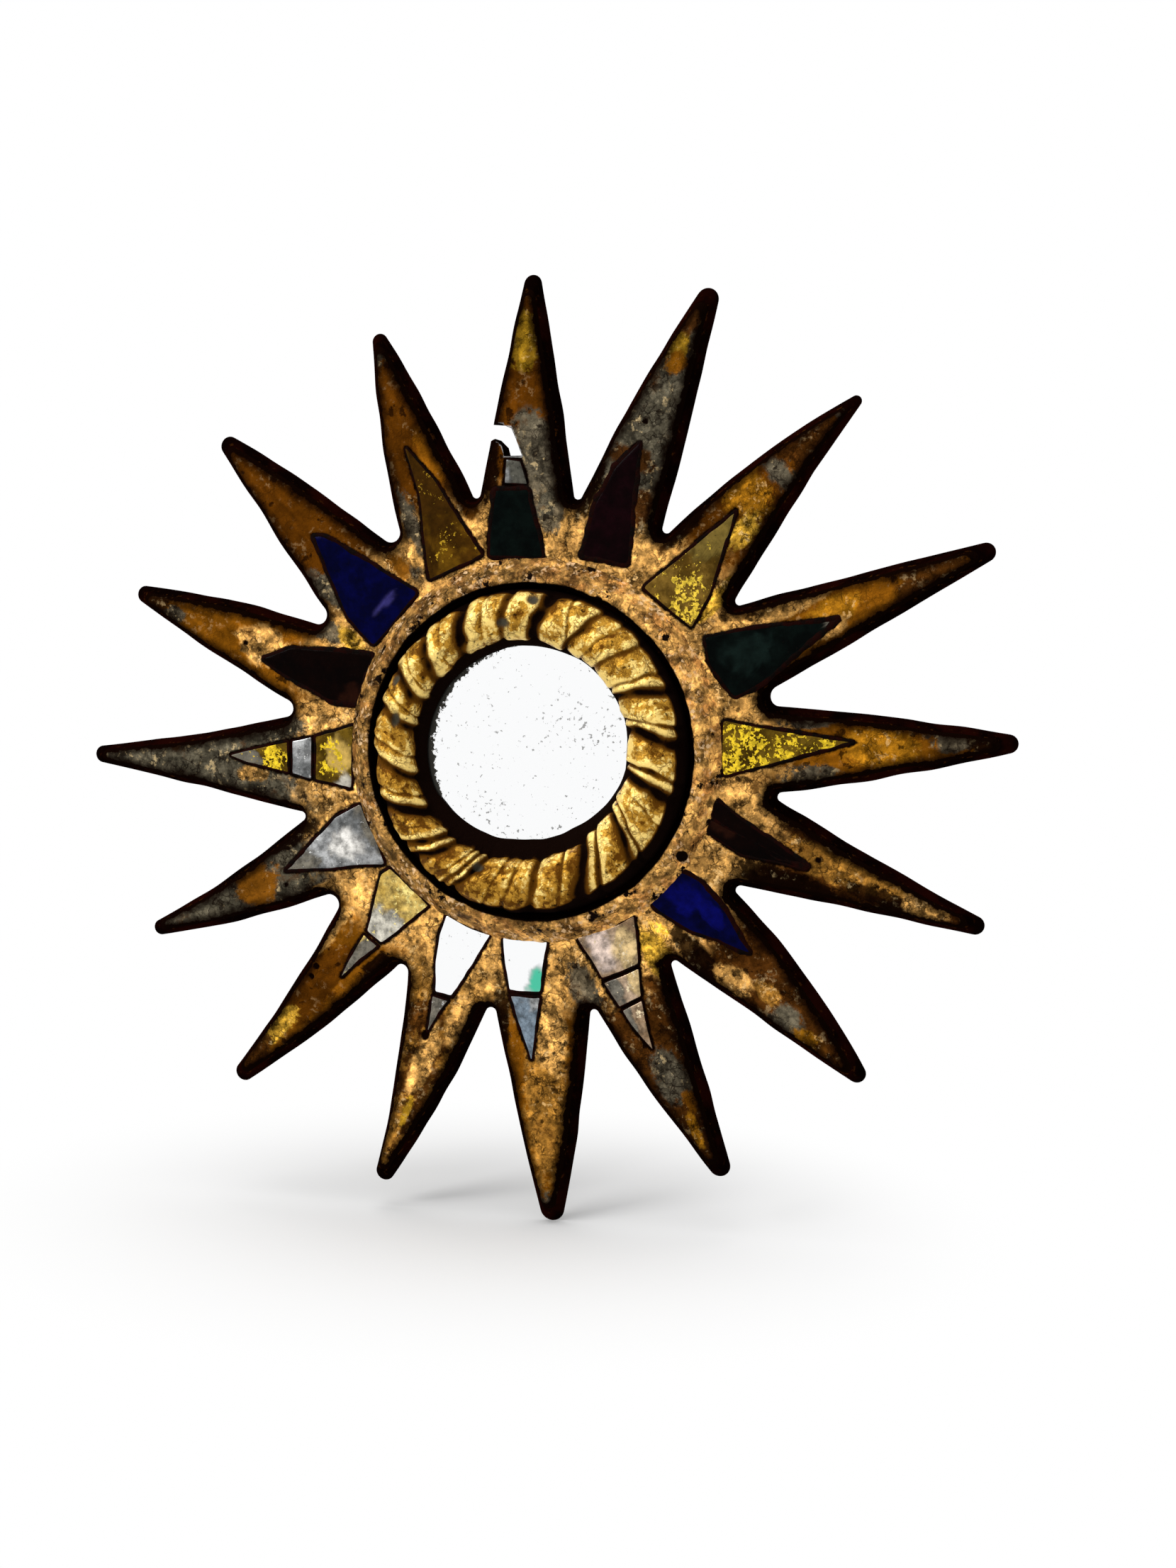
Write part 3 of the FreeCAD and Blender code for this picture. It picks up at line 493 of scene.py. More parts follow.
class Shell:
    """Collects grids of points with their values, and makes one closed piece from them."""

    def __init__(self):
        self.points = []
        self.values = {}
        self.faces = []
        self.count = 0

    def grid(self, flat, depth, ring=False, **values):
        """Adds grids of x and z (..., rows, columns, 2) at a depth in front of the wall."""
        depth = np.broadcast_to(depth, flat.shape[:-1])
        block = np.stack([flat[..., 0], -depth, flat[..., 1]], axis=-1)
        rows, columns = flat.shape[-3:-1]
        for part in block.reshape(-1, rows, columns, 3):
            self.faces.extend(quads(rows, columns, self.count, ring))
            self.points.append(part.reshape(-1, 3))
            self.count += rows * columns
        for name, value in values.items():
            width = 3 if name in COLOUR_VALUES else 1
            shape = flat.shape[:-1] + ((3,) if width == 3 else ())
            self.values.setdefault(name, []).append(np.broadcast_to(value, shape).reshape(-1, width))

    def polygon(self, points):
        """Adds one flat polygon from its corners."""
        self.points.append(points)
        self.faces.append(list(range(self.count, self.count + len(points))))
        self.count += len(points)
        for parts in self.values.values():
            parts.append(np.zeros((len(points), parts[0].shape[1])))

    def piece(self, name, material, nodes, crease=40.0, cutter=None):
        """Makes the object: points that meet are joined, and edges bent by more than crease stay sharp.

        What lies inside the cutter is taken away. nodes are the nodes of the CAD that the piece replaces.
        """
        mesh = bpy.data.meshes.new(name)
        mesh.from_pydata(np.concatenate(self.points) * MM, [], self.faces)
        for key, parts in self.values.items():
            data = np.concatenate(parts)
            if data.shape[1] == 3:
                layer = mesh.attributes.new(key, "FLOAT_COLOR", "POINT")
                data = np.concatenate([data, np.ones((len(data), 1))], axis=1)
                layer.data.foreach_set("color", data.ravel())
            else:
                layer = mesh.attributes.new(key, "FLOAT", "POINT")
                layer.data.foreach_set("value", data.ravel().astype(np.float32))
        tidy_mesh(mesh, 0.002 * MM)
        made = bpy.data.objects.new(name, mesh)
        bpy.context.scene.collection.objects.link(made)
        if cutter is not None:
            cut_away(made, cutter)
        made.data.polygons.foreach_set("use_smooth", np.ones(len(made.data.polygons), dtype=bool))
        made.data.set_sharp_from_angle(angle=math.radians(crease))
        made.data.materials.clear()
        made.data.materials.append(material)
        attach(made, "sun")
        if nodes:
            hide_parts(*nodes)
        return made


def tidy_mesh(mesh, reach=0.0):
    """Joins points that lie within reach of each other, where it is above 0, and turns the faces outwards."""
    work = bmesh.new()
    work.from_mesh(mesh)
    if reach > 0.0:
        bmesh.ops.remove_doubles(work, verts=work.verts, dist=reach)
    bmesh.ops.recalc_face_normals(work, faces=work.faces)
    work.to_mesh(mesh)
    work.free()


def cut_away(made, cutter):
    """Takes a solid away from a piece and keeps the result as its mesh."""
    step = made.modifiers.new("cut", "BOOLEAN")
    step.operation = "DIFFERENCE"
    step.solver = "EXACT"
    step.object = cutter
    whole = bpy.context.evaluated_depsgraph_get()
    result = bpy.data.meshes.new_from_object(made.evaluated_get(whole))
    made.modifiers.clear()
    made.data = result


def chip_cutter():
    """The prism that stands for the piece broken out of the first ray."""
    angle = math.radians(RAYS[0, 0])
    shares = np.array(CHIP) * STAR_RADIUS
    loop = hand_shift(turned(angle, shares[:, 0], shares[:, 1]))
    count = len(loop)
    front = np.stack([loop[:, 0], np.full(count, -CHIP_DEPTH), loop[:, 1]], axis=-1)
    back = front + np.array([0.0, CHIP_DEPTH, 0.0])
    faces = [list(range(count)), list(range(2 * count - 1, count - 1, -1))]
    for index in range(count):
        after = (index + 1) % count
        faces.append([index, count + index, count + after, after])
    mesh = bpy.data.meshes.new("chip")
    mesh.from_pydata(np.concatenate([front, back]) * MM, [], faces)
    tidy_mesh(mesh)
    solid = bpy.data.objects.new("chip", mesh)
    bpy.context.scene.collection.objects.link(solid)
    return solid


def drop(solid):
    """Removes a helper object with its mesh."""
    mesh = solid.data
    bpy.data.objects.remove(solid)
    bpy.data.meshes.remove(mesh)


class Wire:
    """A value on its way through a node tree. Sums, products and the steps below are new nodes of that tree.

    The wire that carries a material's coordinates also gives noise, the mesh's values and the shared effects.
    """

    def __init__(self, socket):
        self.socket = socket
        self.tree = socket.id_data

    def __add__(self, other):
        return maths("ADD", self, other)

    def __radd__(self, other):
        return maths("ADD", other, self)

    def __sub__(self, other):
        return maths("SUBTRACT", self, other)

    def __rsub__(self, other):
        return maths("SUBTRACT", other, self)

    def __mul__(self, other):
        return maths("MULTIPLY", self, other)

    def __rtruediv__(self, other):
        return maths("DIVIDE", other, self)

    def most(self, other):
        """The larger of two values."""
        return maths("MAXIMUM", self, other)

    def ramp(self, low, high, bottom=0.0, top=1.0):
        """A smooth step between two limits."""
        values = {"Value": self, "From Min": low, "From Max": high, "To Min": bottom, "To Max": top}
        return wired("ShaderNodeMapRange", values, interpolation_type="SMOOTHSTEP")

    def vector(self, operation, other):
        """Arithmetic with a second vector, part by part."""
        return wired("ShaderNodeVectorMath", {0: self, 1: other}, operation=operation)

    def length(self):
        """Length of a vector."""
        return wired("ShaderNodeVectorMath", {0: self}, "Value", operation="LENGTH")

    def noise(self, scale, detail=3.0, rough=0.55):
        """Noise from 0 to 1 at these coordinates."""
        values = {"Vector": self, "Scale": scale, "Detail": detail, "Roughness": rough}
        return wired("ShaderNodeTexNoise", values)

    def jitter(self, scale, amount):
        """Noise from about minus half to plus half of an amount."""
        return (self.noise(scale, 4.0, 0.65) - 0.5) * amount

    def attribute(self, name, output="Fac"):
        """A value that the mesh carries, or a colour where output is Color."""
        return Wire(put(self.tree, "ShaderNodeAttribute", {}, attribute_name=name).outputs[output])

    def use(self, name, **inputs):
        """Outputs of a shared effect, which is made first where it doesn't exist yet."""
        group = bpy.data.node_groups.get(name) or GROUPS[name]()
        values = {key.capitalize(): value for key, value in inputs.items()}
        node = put(self.tree, "ShaderNodeGroup", {"Coordinates": self, **values}, node_tree=group)
        return [Wire(output) for output in node.outputs]

    def speckle(self, scale, threshold, softness):
        """Spots, from the shared effect of that name."""
        return self.use("speckle", scale=scale, threshold=threshold, softness=softness)[0]

    def mottle(self, colour, scale, low, high, amount=1.0):
        """A colour made uneven, from the shared effect of that name."""
        return self.use("mottle", colour=colour, scale=scale, low=low, high=high, amount=amount)[0]

    def crumple(self, scale, width=0.10):
        """Painted light on the facets and painted shade in the creases of crumpled leaf, from the shared
        effect of that name.
        """
        return self.use("crumple", scale=scale, width=width)

    def relief(self, scale, cracks, strength):
        """A worn normal, from the shared effect of that name."""
        return self.use("relief", scale=scale, cracks=cracks, strength=strength)[0]


def put(tree, kind, values, **settings):
    """Adds a node, sets it up, and links or fills its inputs. A colour gets an alpha of 1."""
    node = tree.nodes.new(kind)
    for name, value in settings.items():
        setattr(node, name, value)
    for name, value in values.items():
        socket = node.inputs[name]
        if isinstance(value, Wire):
            tree.links.new(value.socket, socket)
        else:
            socket.default_value = (*value, 1.0) if socket.type == "RGBA" else value
    return node


def wired(kind, values, output=0, **settings):
    """One output of a new node in the tree that its inputs come from."""
    tree = next(value.tree for value in values.values() if isinstance(value, Wire))
    return Wire(put(tree, kind, values, **settings).outputs[output])


def maths(operation, first, second):
    """Arithmetic with two numbers, of which one or both are wires."""
    return wired("ShaderNodeMath", {0: first, 1: second}, operation=operation)


def tint(factor, first, second):
    """One colour over another."""
    return wired("ShaderNodeMix", {0: factor, 6: first, 7: second}, 2, data_type="RGBA")


def scaled(value, factor):
    """A colour or a vector times a number."""
    return wired("ShaderNodeVectorMath", {0: value, "Scale": factor}, operation="SCALE")


def link(wire, socket):
    """Links a wire to the socket of a node in its tree."""
    wire.tree.links.new(wire.socket, socket)


# Kinds of the shared effects' sockets, where they aren't plain numbers.
SOCKETS = {"Coordinates": "NodeSocketVector", "Normal": "NodeSocketVector", "Colour": "NodeSocketColor"}


def new_group(name, inputs, outputs):
    """An empty node group with named sockets: its inputs as wires, and the sockets of its end node."""
    tree = bpy.data.node_groups.new(name, "ShaderNodeTree")
    for side, labels in (("INPUT", inputs), ("OUTPUT", outputs)):
        for label in labels:
            tree.interface.new_socket(label, in_out=side, socket_type=SOCKETS.get(label, "NodeSocketFloat"))
    given = tree.nodes.new("NodeGroupInput").outputs
    return tree, [Wire(given[label]) for label in inputs], tree.nodes.new("NodeGroupOutput").inputs


def speckle_group():
    """Spots where noise rises past a threshold, with a soft border."""
    inputs = ("Coordinates", "Scale", "Threshold", "Softness")
    tree, (place, scale, threshold, softness), result = new_group("speckle", inputs, ("Mask",))
    value = place.noise(scale, 4.0, 0.6)
    link(value.ramp(threshold - softness, threshold + softness), result["Mask"])
    return tree


def mottle_group():
    """Makes a colour darker and lighter in drifting patches, from Low to High as far as Amount says."""
    inputs = ("Coordinates", "Colour", "Scale", "Low", "High", "Amount")
    tree, (place, base, scale, low, high, amount), result = new_group("mottle", inputs, ("Colour",))
    value = place.noise(scale, 5.0, 0.68)
    factor = wired("ShaderNodeMapRange", {"Value": value, "From Min": 0.38, "From Max": 0.62,
                                          "To Min": low, "To Max": high})
    link(scaled(base, 1.0 + (factor - 1.0) * amount), result["Colour"])
    return tree


def crumple_group():
    """Crumpled leaf: bent cells, each with its own brightness as painted light on a facet, and the creases
    along their borders as painted shade.
    """
    inputs = ("Coordinates", "Scale", "Width")
    tree, (place, scale, width), result = new_group("crumple", inputs, ("Value", "Crease"))
    bent = wired("ShaderNodeTexNoise", {"Vector": place, "Scale": scale, "Detail": 3.0}, "Color")
    moved = place.vector("ADD", scaled(bent, 1.7 / scale))
    cells = wired("ShaderNodeTexVoronoi", {"Vector": moved, "Scale": scale}, "Color", feature="F1")
    link(wired("ShaderNodeSeparateColor", {0: cells}), result["Value"])
    edge = wired("ShaderNodeTexVoronoi", {"Vector": moved, "Scale": scale}, "Distance",
                 feature="DISTANCE_TO_EDGE")
    broken = place.noise(260.0, 2.0).ramp(0.38, 0.60)
    link(edge.ramp(0.0, width, 1.0, 0.0) * broken, result["Crease"])
    return tree


def relief_group():
    """A worn, hand-worked skin: coarse and fine noise with cracks sunk into it, as a normal."""
    inputs = ("Coordinates", "Scale", "Cracks", "Strength")
    tree, (place, scale, cracks, strength), result = new_group("relief", inputs, ("Normal",))
    height = place.noise(scale, 5.0, 0.65) + place.noise(scale * 4.0, 3.0, 0.6) * 0.35
    height = height - cracks * 0.35
    bump = wired("ShaderNodeBump", {"Strength": strength, "Distance": 0.0005, "Height": height})
    link(bump, result["Normal"])
    return tree


GROUPS = {"speckle": speckle_group, "relief": relief_group, "mottle": mottle_group, "crumple": crumple_group}


def socket_name(key):
    """A socket's own name, such as Base Color for base_color."""
    return key.replace("_", " ").title().replace("Ior", "IOR")


def new_material(name, **surface):
    """A material whose shader has its plain numbers on its own sockets, the shader, and the coordinates."""
    material = bpy.data.materials.new(name)
    material.use_nodes = True
    tree = material.node_tree
    shader = tree.nodes["Principled BSDF"]
    for key, value in surface.items():
        shader.inputs[socket_name(key)].default_value = value
    return material, shader, Wire(tree.nodes.new("ShaderNodeTexCoord").outputs["Object"])


def connect(shader, **wires):
    """Links wires to a shader's sockets."""
    for key, wire in wires.items():
        link(wire, shader.inputs[socket_name(key)])


def face_material(colours):
    """Gilding in ragged patches, crumpled and flecked where the leaf is loose, and dark at the rims. The
    crumpled cells carry painted light, their creases painted shade, and the flecks painted glints.
    """
    material, shader, place = new_material("gilded_face", specular_ior_level=0.0)
    leaf = place.attribute("leaf")
    torn = place.noise(420.0, 6.0, 0.75).ramp(0.46, 0.54)
    patina = tint(torn, place.attribute("patina", "Color"), place.attribute("patina_worn", "Color"))
    base = place.mottle(patina, 75.0, 0.60, 1.35)
    base = place.mottle(base, 210.0, 0.10, 1.75, leaf)
    wide, wide_crease = place.crumple(330.0)
    small, small_crease = place.crumple(1000.0)
    # Painted light: each crumpled cell lit brighter or darker, more so where the leaf is loose.
    tone = wide.ramp(0.0, 1.0, 0.62, 1.38) * small.ramp(0.0, 1.0, 0.68, 1.32)
    tone = 1.0 + (tone - 1.0) * leaf
    base = scaled(base, tone * leaf.ramp(0.0, 1.0, 1.15, 1.65))
    # Gold flecks with painted glints: bright spots in clusters where the leaf is loose.
    cluster = place.noise(190.0, 4.0, 0.6).ramp(0.46, 0.60)
    fleck_glint = place.speckle(620.0, 0.585, 0.04) * cluster * leaf.ramp(0.05, 0.8, 0.25, 1.0)
    base = tint(fleck_glint, base, tint(0.5, scaled(patina, 2.4), (0.80, 0.58, 0.28)))
    # Painted shade in the creases.
    crease = wide_crease.most(small_crease * 0.5)
    base = tint(crease * leaf.ramp(0.1, 0.8, 0.25, 0.85), base, colours.shade)
    hollow = place.noise(105.0, 6.0, 0.7).ramp(0.545, 0.66, 0.0, 0.85)
    base = tint(hollow * leaf.ramp(0.1, 0.9), base, colours.brown)
    base = tint(place.speckle(240.0, 0.625, 0.03) * 0.8, base, colours.shade)
    rim = place.attribute("rim") + place.jitter(380.0, 0.85)
    cover = rim.ramp(0.10, 0.26, 1.0, 0.0).most(rim.ramp(0.12, 1.05, 0.88, 0.0))
    near = (place.attribute("joint") + place.jitter(600.0, 1.2)).ramp(0.30, 0.80)
    radius = place.vector("MULTIPLY", (1.0, 0.0, 1.0)).length()
    cover = cover.most(near).most(radius.ramp(0.0460, 0.0475, 1.0, 0.0))
    connect(shader, base_color=tint(cover, base, colours.shade), metallic=leaf * (1.0 - cover) * 0.25,
            roughness=place.noise(300.0).ramp(0.3, 0.7, 0.34, 0.56), normal=place.relief(420.0, crease, 0.9))
    return material


def dark_material(colours):
    """Near-black cast resin with a maroon bloom and specks of worn gilding towards the face."""
    material, shader, place = new_material("dark_sides", specular_ior_level=0.0)
    base = tint(place.speckle(110.0, 0.54, 0.14), colours.pitch, colours.maroon)
    depth = wired("ShaderNodeSeparateXYZ", {0: place}, "Y") * -1000.0
    bare = place.mottle(colours.bare_resin, 60.0, 0.5, 1.5)
    base = tint(depth.ramp(3.05, 3.6, 1.0, 0.0), base, bare)
    worn = place.speckle(700.0, 0.62, 0.04) * depth.ramp(4.6, 7.2)
    base = tint(worn * 0.6, base, colours.brown)
    connect(shader, base_color=base, roughness=place.noise(300.0).ramp(0.3, 0.7, 0.55, 0.75),
            normal=place.relief(260.0, 0.0, 0.5))
    return material


def collar_material(colours):
    """Copper-tan gilding, crumpled, with pale flecks as painted glints, painted shade on its walls and in its
    pit, and painted light that makes it brighter towards the right and darker towards the left.
    """
    material, shader, place = new_material("copper_collar", specular_ior_level=0.02)
    blotch = place.speckle(190.0, 0.52, 0.10)
    base = place.mottle(tint(blotch, colours.copper, colours.collar_tan), 230.0, 0.20, 1.75, 0.9)
    wide, wide_crease = place.crumple(420.0, 0.12)
    small, small_crease = place.crumple(1050.0)
    # Painted light: each crumpled cell lit brighter or darker.
    tone = wide.ramp(0.0, 1.0, 0.60, 1.40) * small.ramp(0.0, 1.0, 0.65, 1.35)
    # Painted light: the collar's colour is scaled by the brightness that it carries.
    base = scaled(base, tone * place.attribute("wear"))
    # Painted glints: pale highlights on the brightest crumpled cells.
    fleck_glint = small.ramp(0.70, 0.86) * place.noise(170.0, 4.0, 0.6).ramp(0.44, 0.60)
    base = tint(fleck_glint * 0.85, base, (0.82, 0.55, 0.30))
    # Painted shade in the creases, with dark specks.
    crease = wide_crease.most(small_crease * 0.45)
    base = tint((crease * 0.75).most(place.speckle(260.0, 0.625, 0.02)), base, colours.shade)
    # Painted shade on the walls and in the pit.
    wall = (place.attribute("wall") + place.jitter(500.0, 0.7)).ramp(0.15, 0.60)
    connect(shader, base_color=tint(wall, base, colours.shade), metallic=(1.0 - wall) * 0.25,
            roughness=blotch.ramp(0.0, 1.0, 0.38, 0.55), normal=place.relief(420.0, crease, 0.9))
    return material


def bezel_material(colours):
    """Crinkled gilding with painted highlights on its crests, amber-brown painted shade down the folds, and
    patina with painted shade, near black, in the grooves and on its flanks.
    """
    material, shader, place = new_material("bezel_gilding", specular_ior_level=0.02)
    wide, wide_crease = place.crumple(300.0)
    small, small_crease = place.crumple(950.0)
    # Painted light: bright on crests and crumpled cells and towards the top and the right, amber-brown in
    # between.
    light = place.attribute("crest") + place.jitter(210.0, 3.6)
    light = light + wide.ramp(0.0, 1.0, -0.30, 0.30) + small.ramp(0.0, 1.0, -0.42, 0.42)
    base = tint(light.ramp(-0.66, 0.34), colours.bezel_brown, colours.bezel_gold)
    base = tint(light.ramp(0.50, 1.25), base, colours.bezel_light)
    # Painted shade in the creases.
    crease = (wide_crease * 0.8).most(small_crease * 0.6)
    base = tint(crease, base, colours.bezel_brown)
    bare = place.attribute("bare")
    # Patina and painted shade in the grooves and on the flanks.
    toned = place.attribute("cavity") + place.jitter(210.0, 0.40) + place.jitter(700.0, 0.25)
    base = tint(toned.ramp(0.03, 0.44), base, colours.bezel_brown)
    base = tint(toned.ramp(0.38, 0.90), base, colours.shade)
    base = tint(place.speckle(600.0, 0.64, 0.03) * 0.8, base, colours.shade)
    connect(shader, base_color=tint(bare, base, colours.pewter),
            metallic=toned.ramp(0.1, 0.5, 0.45, 0.0) * (1.0 - bare),
            roughness=toned.ramp(0.1, 0.6, 0.28, 0.9), normal=place.relief(300.0, crease, 0.7))
    return material


def mirror_material(name, spots, worn_edge=False):
    """Silvered glass with fine age specks, and a speckled edge on the left where worn_edge is true."""
    material, shader, place = new_material(name, metallic=1.0)
    rise = spots - place.noise(75.0, 2.0).ramp(0.44, 0.64) * 0.07
    speck = (place.noise(850.0, 3.0, 0.6) - rise).ramp(0.0, 0.05) * 0.7
    if worn_edge:
        off = place.vector("MULTIPLY", (1.0, 0.0, 1.0)).vector("SUBTRACT", (0.0022, 0.0, -0.0004))
        worn = off.length().ramp(0.0267, 0.0310, 0.0, 0.50) + place.noise(750.0, 4.0, 0.7)
        speck = speck.most(worn.ramp(0.74, 0.79))
    silver = tint(place.attribute("stained"), (0.96, 0.965, 0.97), place.attribute("stain", "Color"))
    connect(shader, base_color=tint(speck * 0.985, silver, (0.03, 0.028, 0.022)),
            roughness=speck.ramp(0.0, 1.0, 0.05, 0.6))
    return material


# Each glass slot: main colour, second colour, flake colour, amount of flakes, metallic, roughness.
GLASS = {
    "glass_grey": ((0.13, 0.135, 0.135), (0.34, 0.345, 0.345), (0.70, 0.70, 0.68), 0.12, 0.35, 0.18),
    "glass_dark_green": ((0.0006, 0.0014, 0.0012), (0.0016, 0.0038, 0.003), None, 0.0, 0.0, 0.14),
    "glass_plum": ((0.0025, 0.0003, 0.0006), (0.0055, 0.0006, 0.0014), None, 0.0, 0.0, 0.14),
    "glass_olive_gold": ((0.070, 0.036, 0.004), (0.20, 0.115, 0.019), (0.90, 0.62, 0.06), 0.36, 0.09, 0.24),
    "glass_yellow_flake": ((0.050, 0.027, 0.002), (0.15, 0.088, 0.008), (0.90, 0.62, 0.03), 0.44, 0.09, 0.24),
    "glass_black_brown": ((0.0012, 0.0002, 0.0001), (0.0026, 0.0005, 0.0002), None, 0.0, 0.0, 0.14),
    "glass_cobalt": ((0.0003, 0.0005, 0.014), (0.0006, 0.001, 0.032), None, 0.0, 0.0, 0.12),
    "glass_rose_silver": ((0.20, 0.125, 0.065), (0.46, 0.33, 0.22), (0.82, 0.66, 0.42), 0.25, 0.30, 0.22),
    "glass_pale_gold": ((0.38, 0.245, 0.045), (0.66, 0.47, 0.13), (0.96, 0.78, 0.26), 0.30, 0.30, 0.22),
    "glass_amber": ((0.060, 0.024, 0.0015), (0.125, 0.058, 0.003), (0.50, 0.30, 0.02), 0.12, 0.08, 0.20),
}


def glass_material(slot, recipe):
    """Backed glass: two tones drifting into each other, painted stains, flakes of leaf, and a clear coat."""
    first, second, flake, amount, metallic, rough = recipe
    pale = metallic > 0.1
    material, shader, place = new_material(slot, metallic=metallic, specular_ior_level=0.12 if pale else 0.01,
                                           coat_weight=0.12 if pale else 0.015, coat_roughness=0.05)
    base = tint(place.noise(130.0, 5.0, 0.65).ramp(0.38, 0.62), first, second)
    stained = (place.attribute("stained") + place.jitter(350.0, 0.6)).ramp(0.05, 0.95)
    base = tint(stained, base, place.attribute("stain", "Color"))
    base = place.mottle(base, 320.0, 0.45, 1.55, 1.0 if pale else 0.5)
    if amount > 0.0:
        bar = place.attribute("flaked").ramp(0.0, 1.0, 0.70, 0.66 - 0.36 * amount)
        bar = bar + place.noise(280.0).ramp(0.35, 0.65, -0.08, 0.13)
        shade = place.noise(900.0).ramp(0.35, 0.65, 0.55, 1.15)
        base = tint(place.speckle(1250.0, bar, 0.02), base, scaled(flake, shade))
    specks = place.speckle(1500.0, 0.66, 0.03)
    connect(shader, base_color=tint(specks * 0.6, base, (0.006, 0.004, 0.003)),
            roughness=place.noise(400.0).ramp(0.3, 0.7, rough, rough + 0.12),
            normal=place.relief(240.0, 0.0, 0.2))
    return material


def plain_material(name, first, second, scale, rough, relief, grain=500.0, **surface):
    """Two tones of one stuff, drifting by noise, with its own grain."""
    material, shader, place = new_material(name, **surface)
    drift = place.noise(scale, 4.0, 0.6).ramp(0.35, 0.65)
    connect(shader, base_color=tint(drift, first, second), normal=place.relief(grain, 0.0, relief),
            roughness=drift.ramp(0.0, 1.0, rough, rough + 0.15))
    return material


def paint_patina(flat, colours, seed):
    """Colour and looseness of leaf all over the face: each ray's ground, its patches, copper at the root."""
    named = {key: np.array(getattr(colours, key)) for key in GRIT}
    x, z = flat[..., 0], flat[..., 1]
    rough = layers(x, z, (0.45, 0.0, 4.5, seed), (0.40, 9.0, 1.7, seed + 1), (0.3, 5.0, 0.9, seed + 2))
    patina = np.empty(flat.shape[:-1] + (3,))
    leaf = np.empty(flat.shape[:-1])
    streak = np.empty(flat.shape[:-1])
    for ray, ground in enumerate(GROUNDS):
        patina[ray] = named[ground]
        leaf[ray] = GRIT[ground]
        own = turned(-math.radians(RAYS[ray, 0]), x[ray], z[ray])
        streak[ray] = wander(own[..., 0] * 0.16, 3.0 * ray, own[..., 1], 0.9, 131)
    radius = np.hypot(x, z)
    under, over = (strength * smooth(start, full, radius + ragged * rough)
                   for strength, start, full, ragged in (COPPER_UNDER, COPPER_OVER))
    weights = [("copper", under)]
    for ray, patches in PATCHES.items():
        for *shares, finish in patches:
            weights.append((finish, 0.95 * smooth(-0.12, 0.20, 1.0 - ellipse(x, z, ray, shares) + rough)))
    weights.append(("copper", over))
    for finish, weight in weights:
        patina = patina + weight[..., None] * (named[finish] - patina)
        leaf = leaf + weight * (GRIT[finish] - leaf)
    return patina * (1.0 + 0.30 * streak)[..., None], leaf


def face_depth(flat, rim, loops):
    """Height of the face: rolled edges, hand-worked waves, sunk windows for the glass, and dents.

    Gives the depth, and how near a joint or pit each point is.
    """
    x, z = flat[..., 0], flat[..., 1]
    edge = np.clip(1.0 - rim / ROLL_WIDTH, 0.0, 1.0)
    depth = FACE - ROLL_DROP * (1.0 - np.sqrt(1.0 - edge ** 2)) - 0.25 * np.exp(-rim / 1.6)
    waves = layers(x, z, (0.20, 0.0, 7.0, 31), (0.15, 5.0, 2.8, 32), (0.08, 9.0, 1.2, 33))
    depth = (depth + waves * smooth(0.0, 1.5, rim)).reshape(-1)
    joint = np.zeros(depth.shape)
    points = flat.reshape(-1, 2)
    for loop in loops:
        low = loop.min(axis=0) - 2.5
        high = loop.max(axis=0) + 2.5
        near = np.nonzero(((points > low) & (points < high)).all(axis=1))[0]
        gap = segment_distance(points[near], loop, True)
        gap = np.where(inside(points[near], loop), gap, -gap)
        window = smooth(-0.25, 0.30, gap)
        depth[near] = depth[near] * (1.0 - window) + WINDOW_FLOOR * window
        depth[near] += 0.12 * bell((gap + 1.3) / 0.6)
        joint[near] = np.maximum(joint[near], bell(np.maximum(-gap, 0.0) / 1.05))
    depth = depth.reshape(rim.shape)
    joint = joint.reshape(rim.shape)
    for ray, along, across, radius, deep in DENTS:
        middle = turned(math.radians(RAYS[ray - 1, 0]), along * STAR_RADIUS, across * STAR_RADIUS)
        far = np.hypot(x - middle[0], z - middle[1]) / radius
        depth = depth - deep * bell(far, 4) + 0.12 * deep * bell((far - 1.25) / 0.3)
        joint = np.maximum(joint, bell(0.9 * far, 4))
    return np.maximum(depth, DENT_FLOOR), joint


def length_property(label, words, value, **limits):
    """A length in metres."""
    return FloatProperty(name=label, description=words, default=value, unit="LENGTH", **limits)


class SunSizes(bpy.types.PropertyGroup):
    """Sizes of the pieces that the scene makes."""
    bezel_groove: length_property("Bezel groove", "Depth of the grooves between the bezel's lobes",
                                  0.0016, min=0.0, max=0.004)
    mastic_width: length_property("Mastic line", "Usual width of the dark line round the glass",
                                  0.0012, min=0.0002, max=0.003)
    glass_proud: length_property("Glass height", "How far the glass stands in front of the wall",
                                 0.00925, min=0.008, max=0.011)
    pad_edge: length_property("Pad edge", "Radius of the felt pad's eased edge", 0.0008, min=0.0, max=0.0015)
    floor_height: length_property("Floor", "Height of the floor under the lowest ray", cad_box[0][2])


def shade_property(label, words, value):
    """A colour."""
    return FloatVectorProperty(name=label, description=words, default=value, subtype="COLOR", size=3, min=0.0,
                               max=1.0)


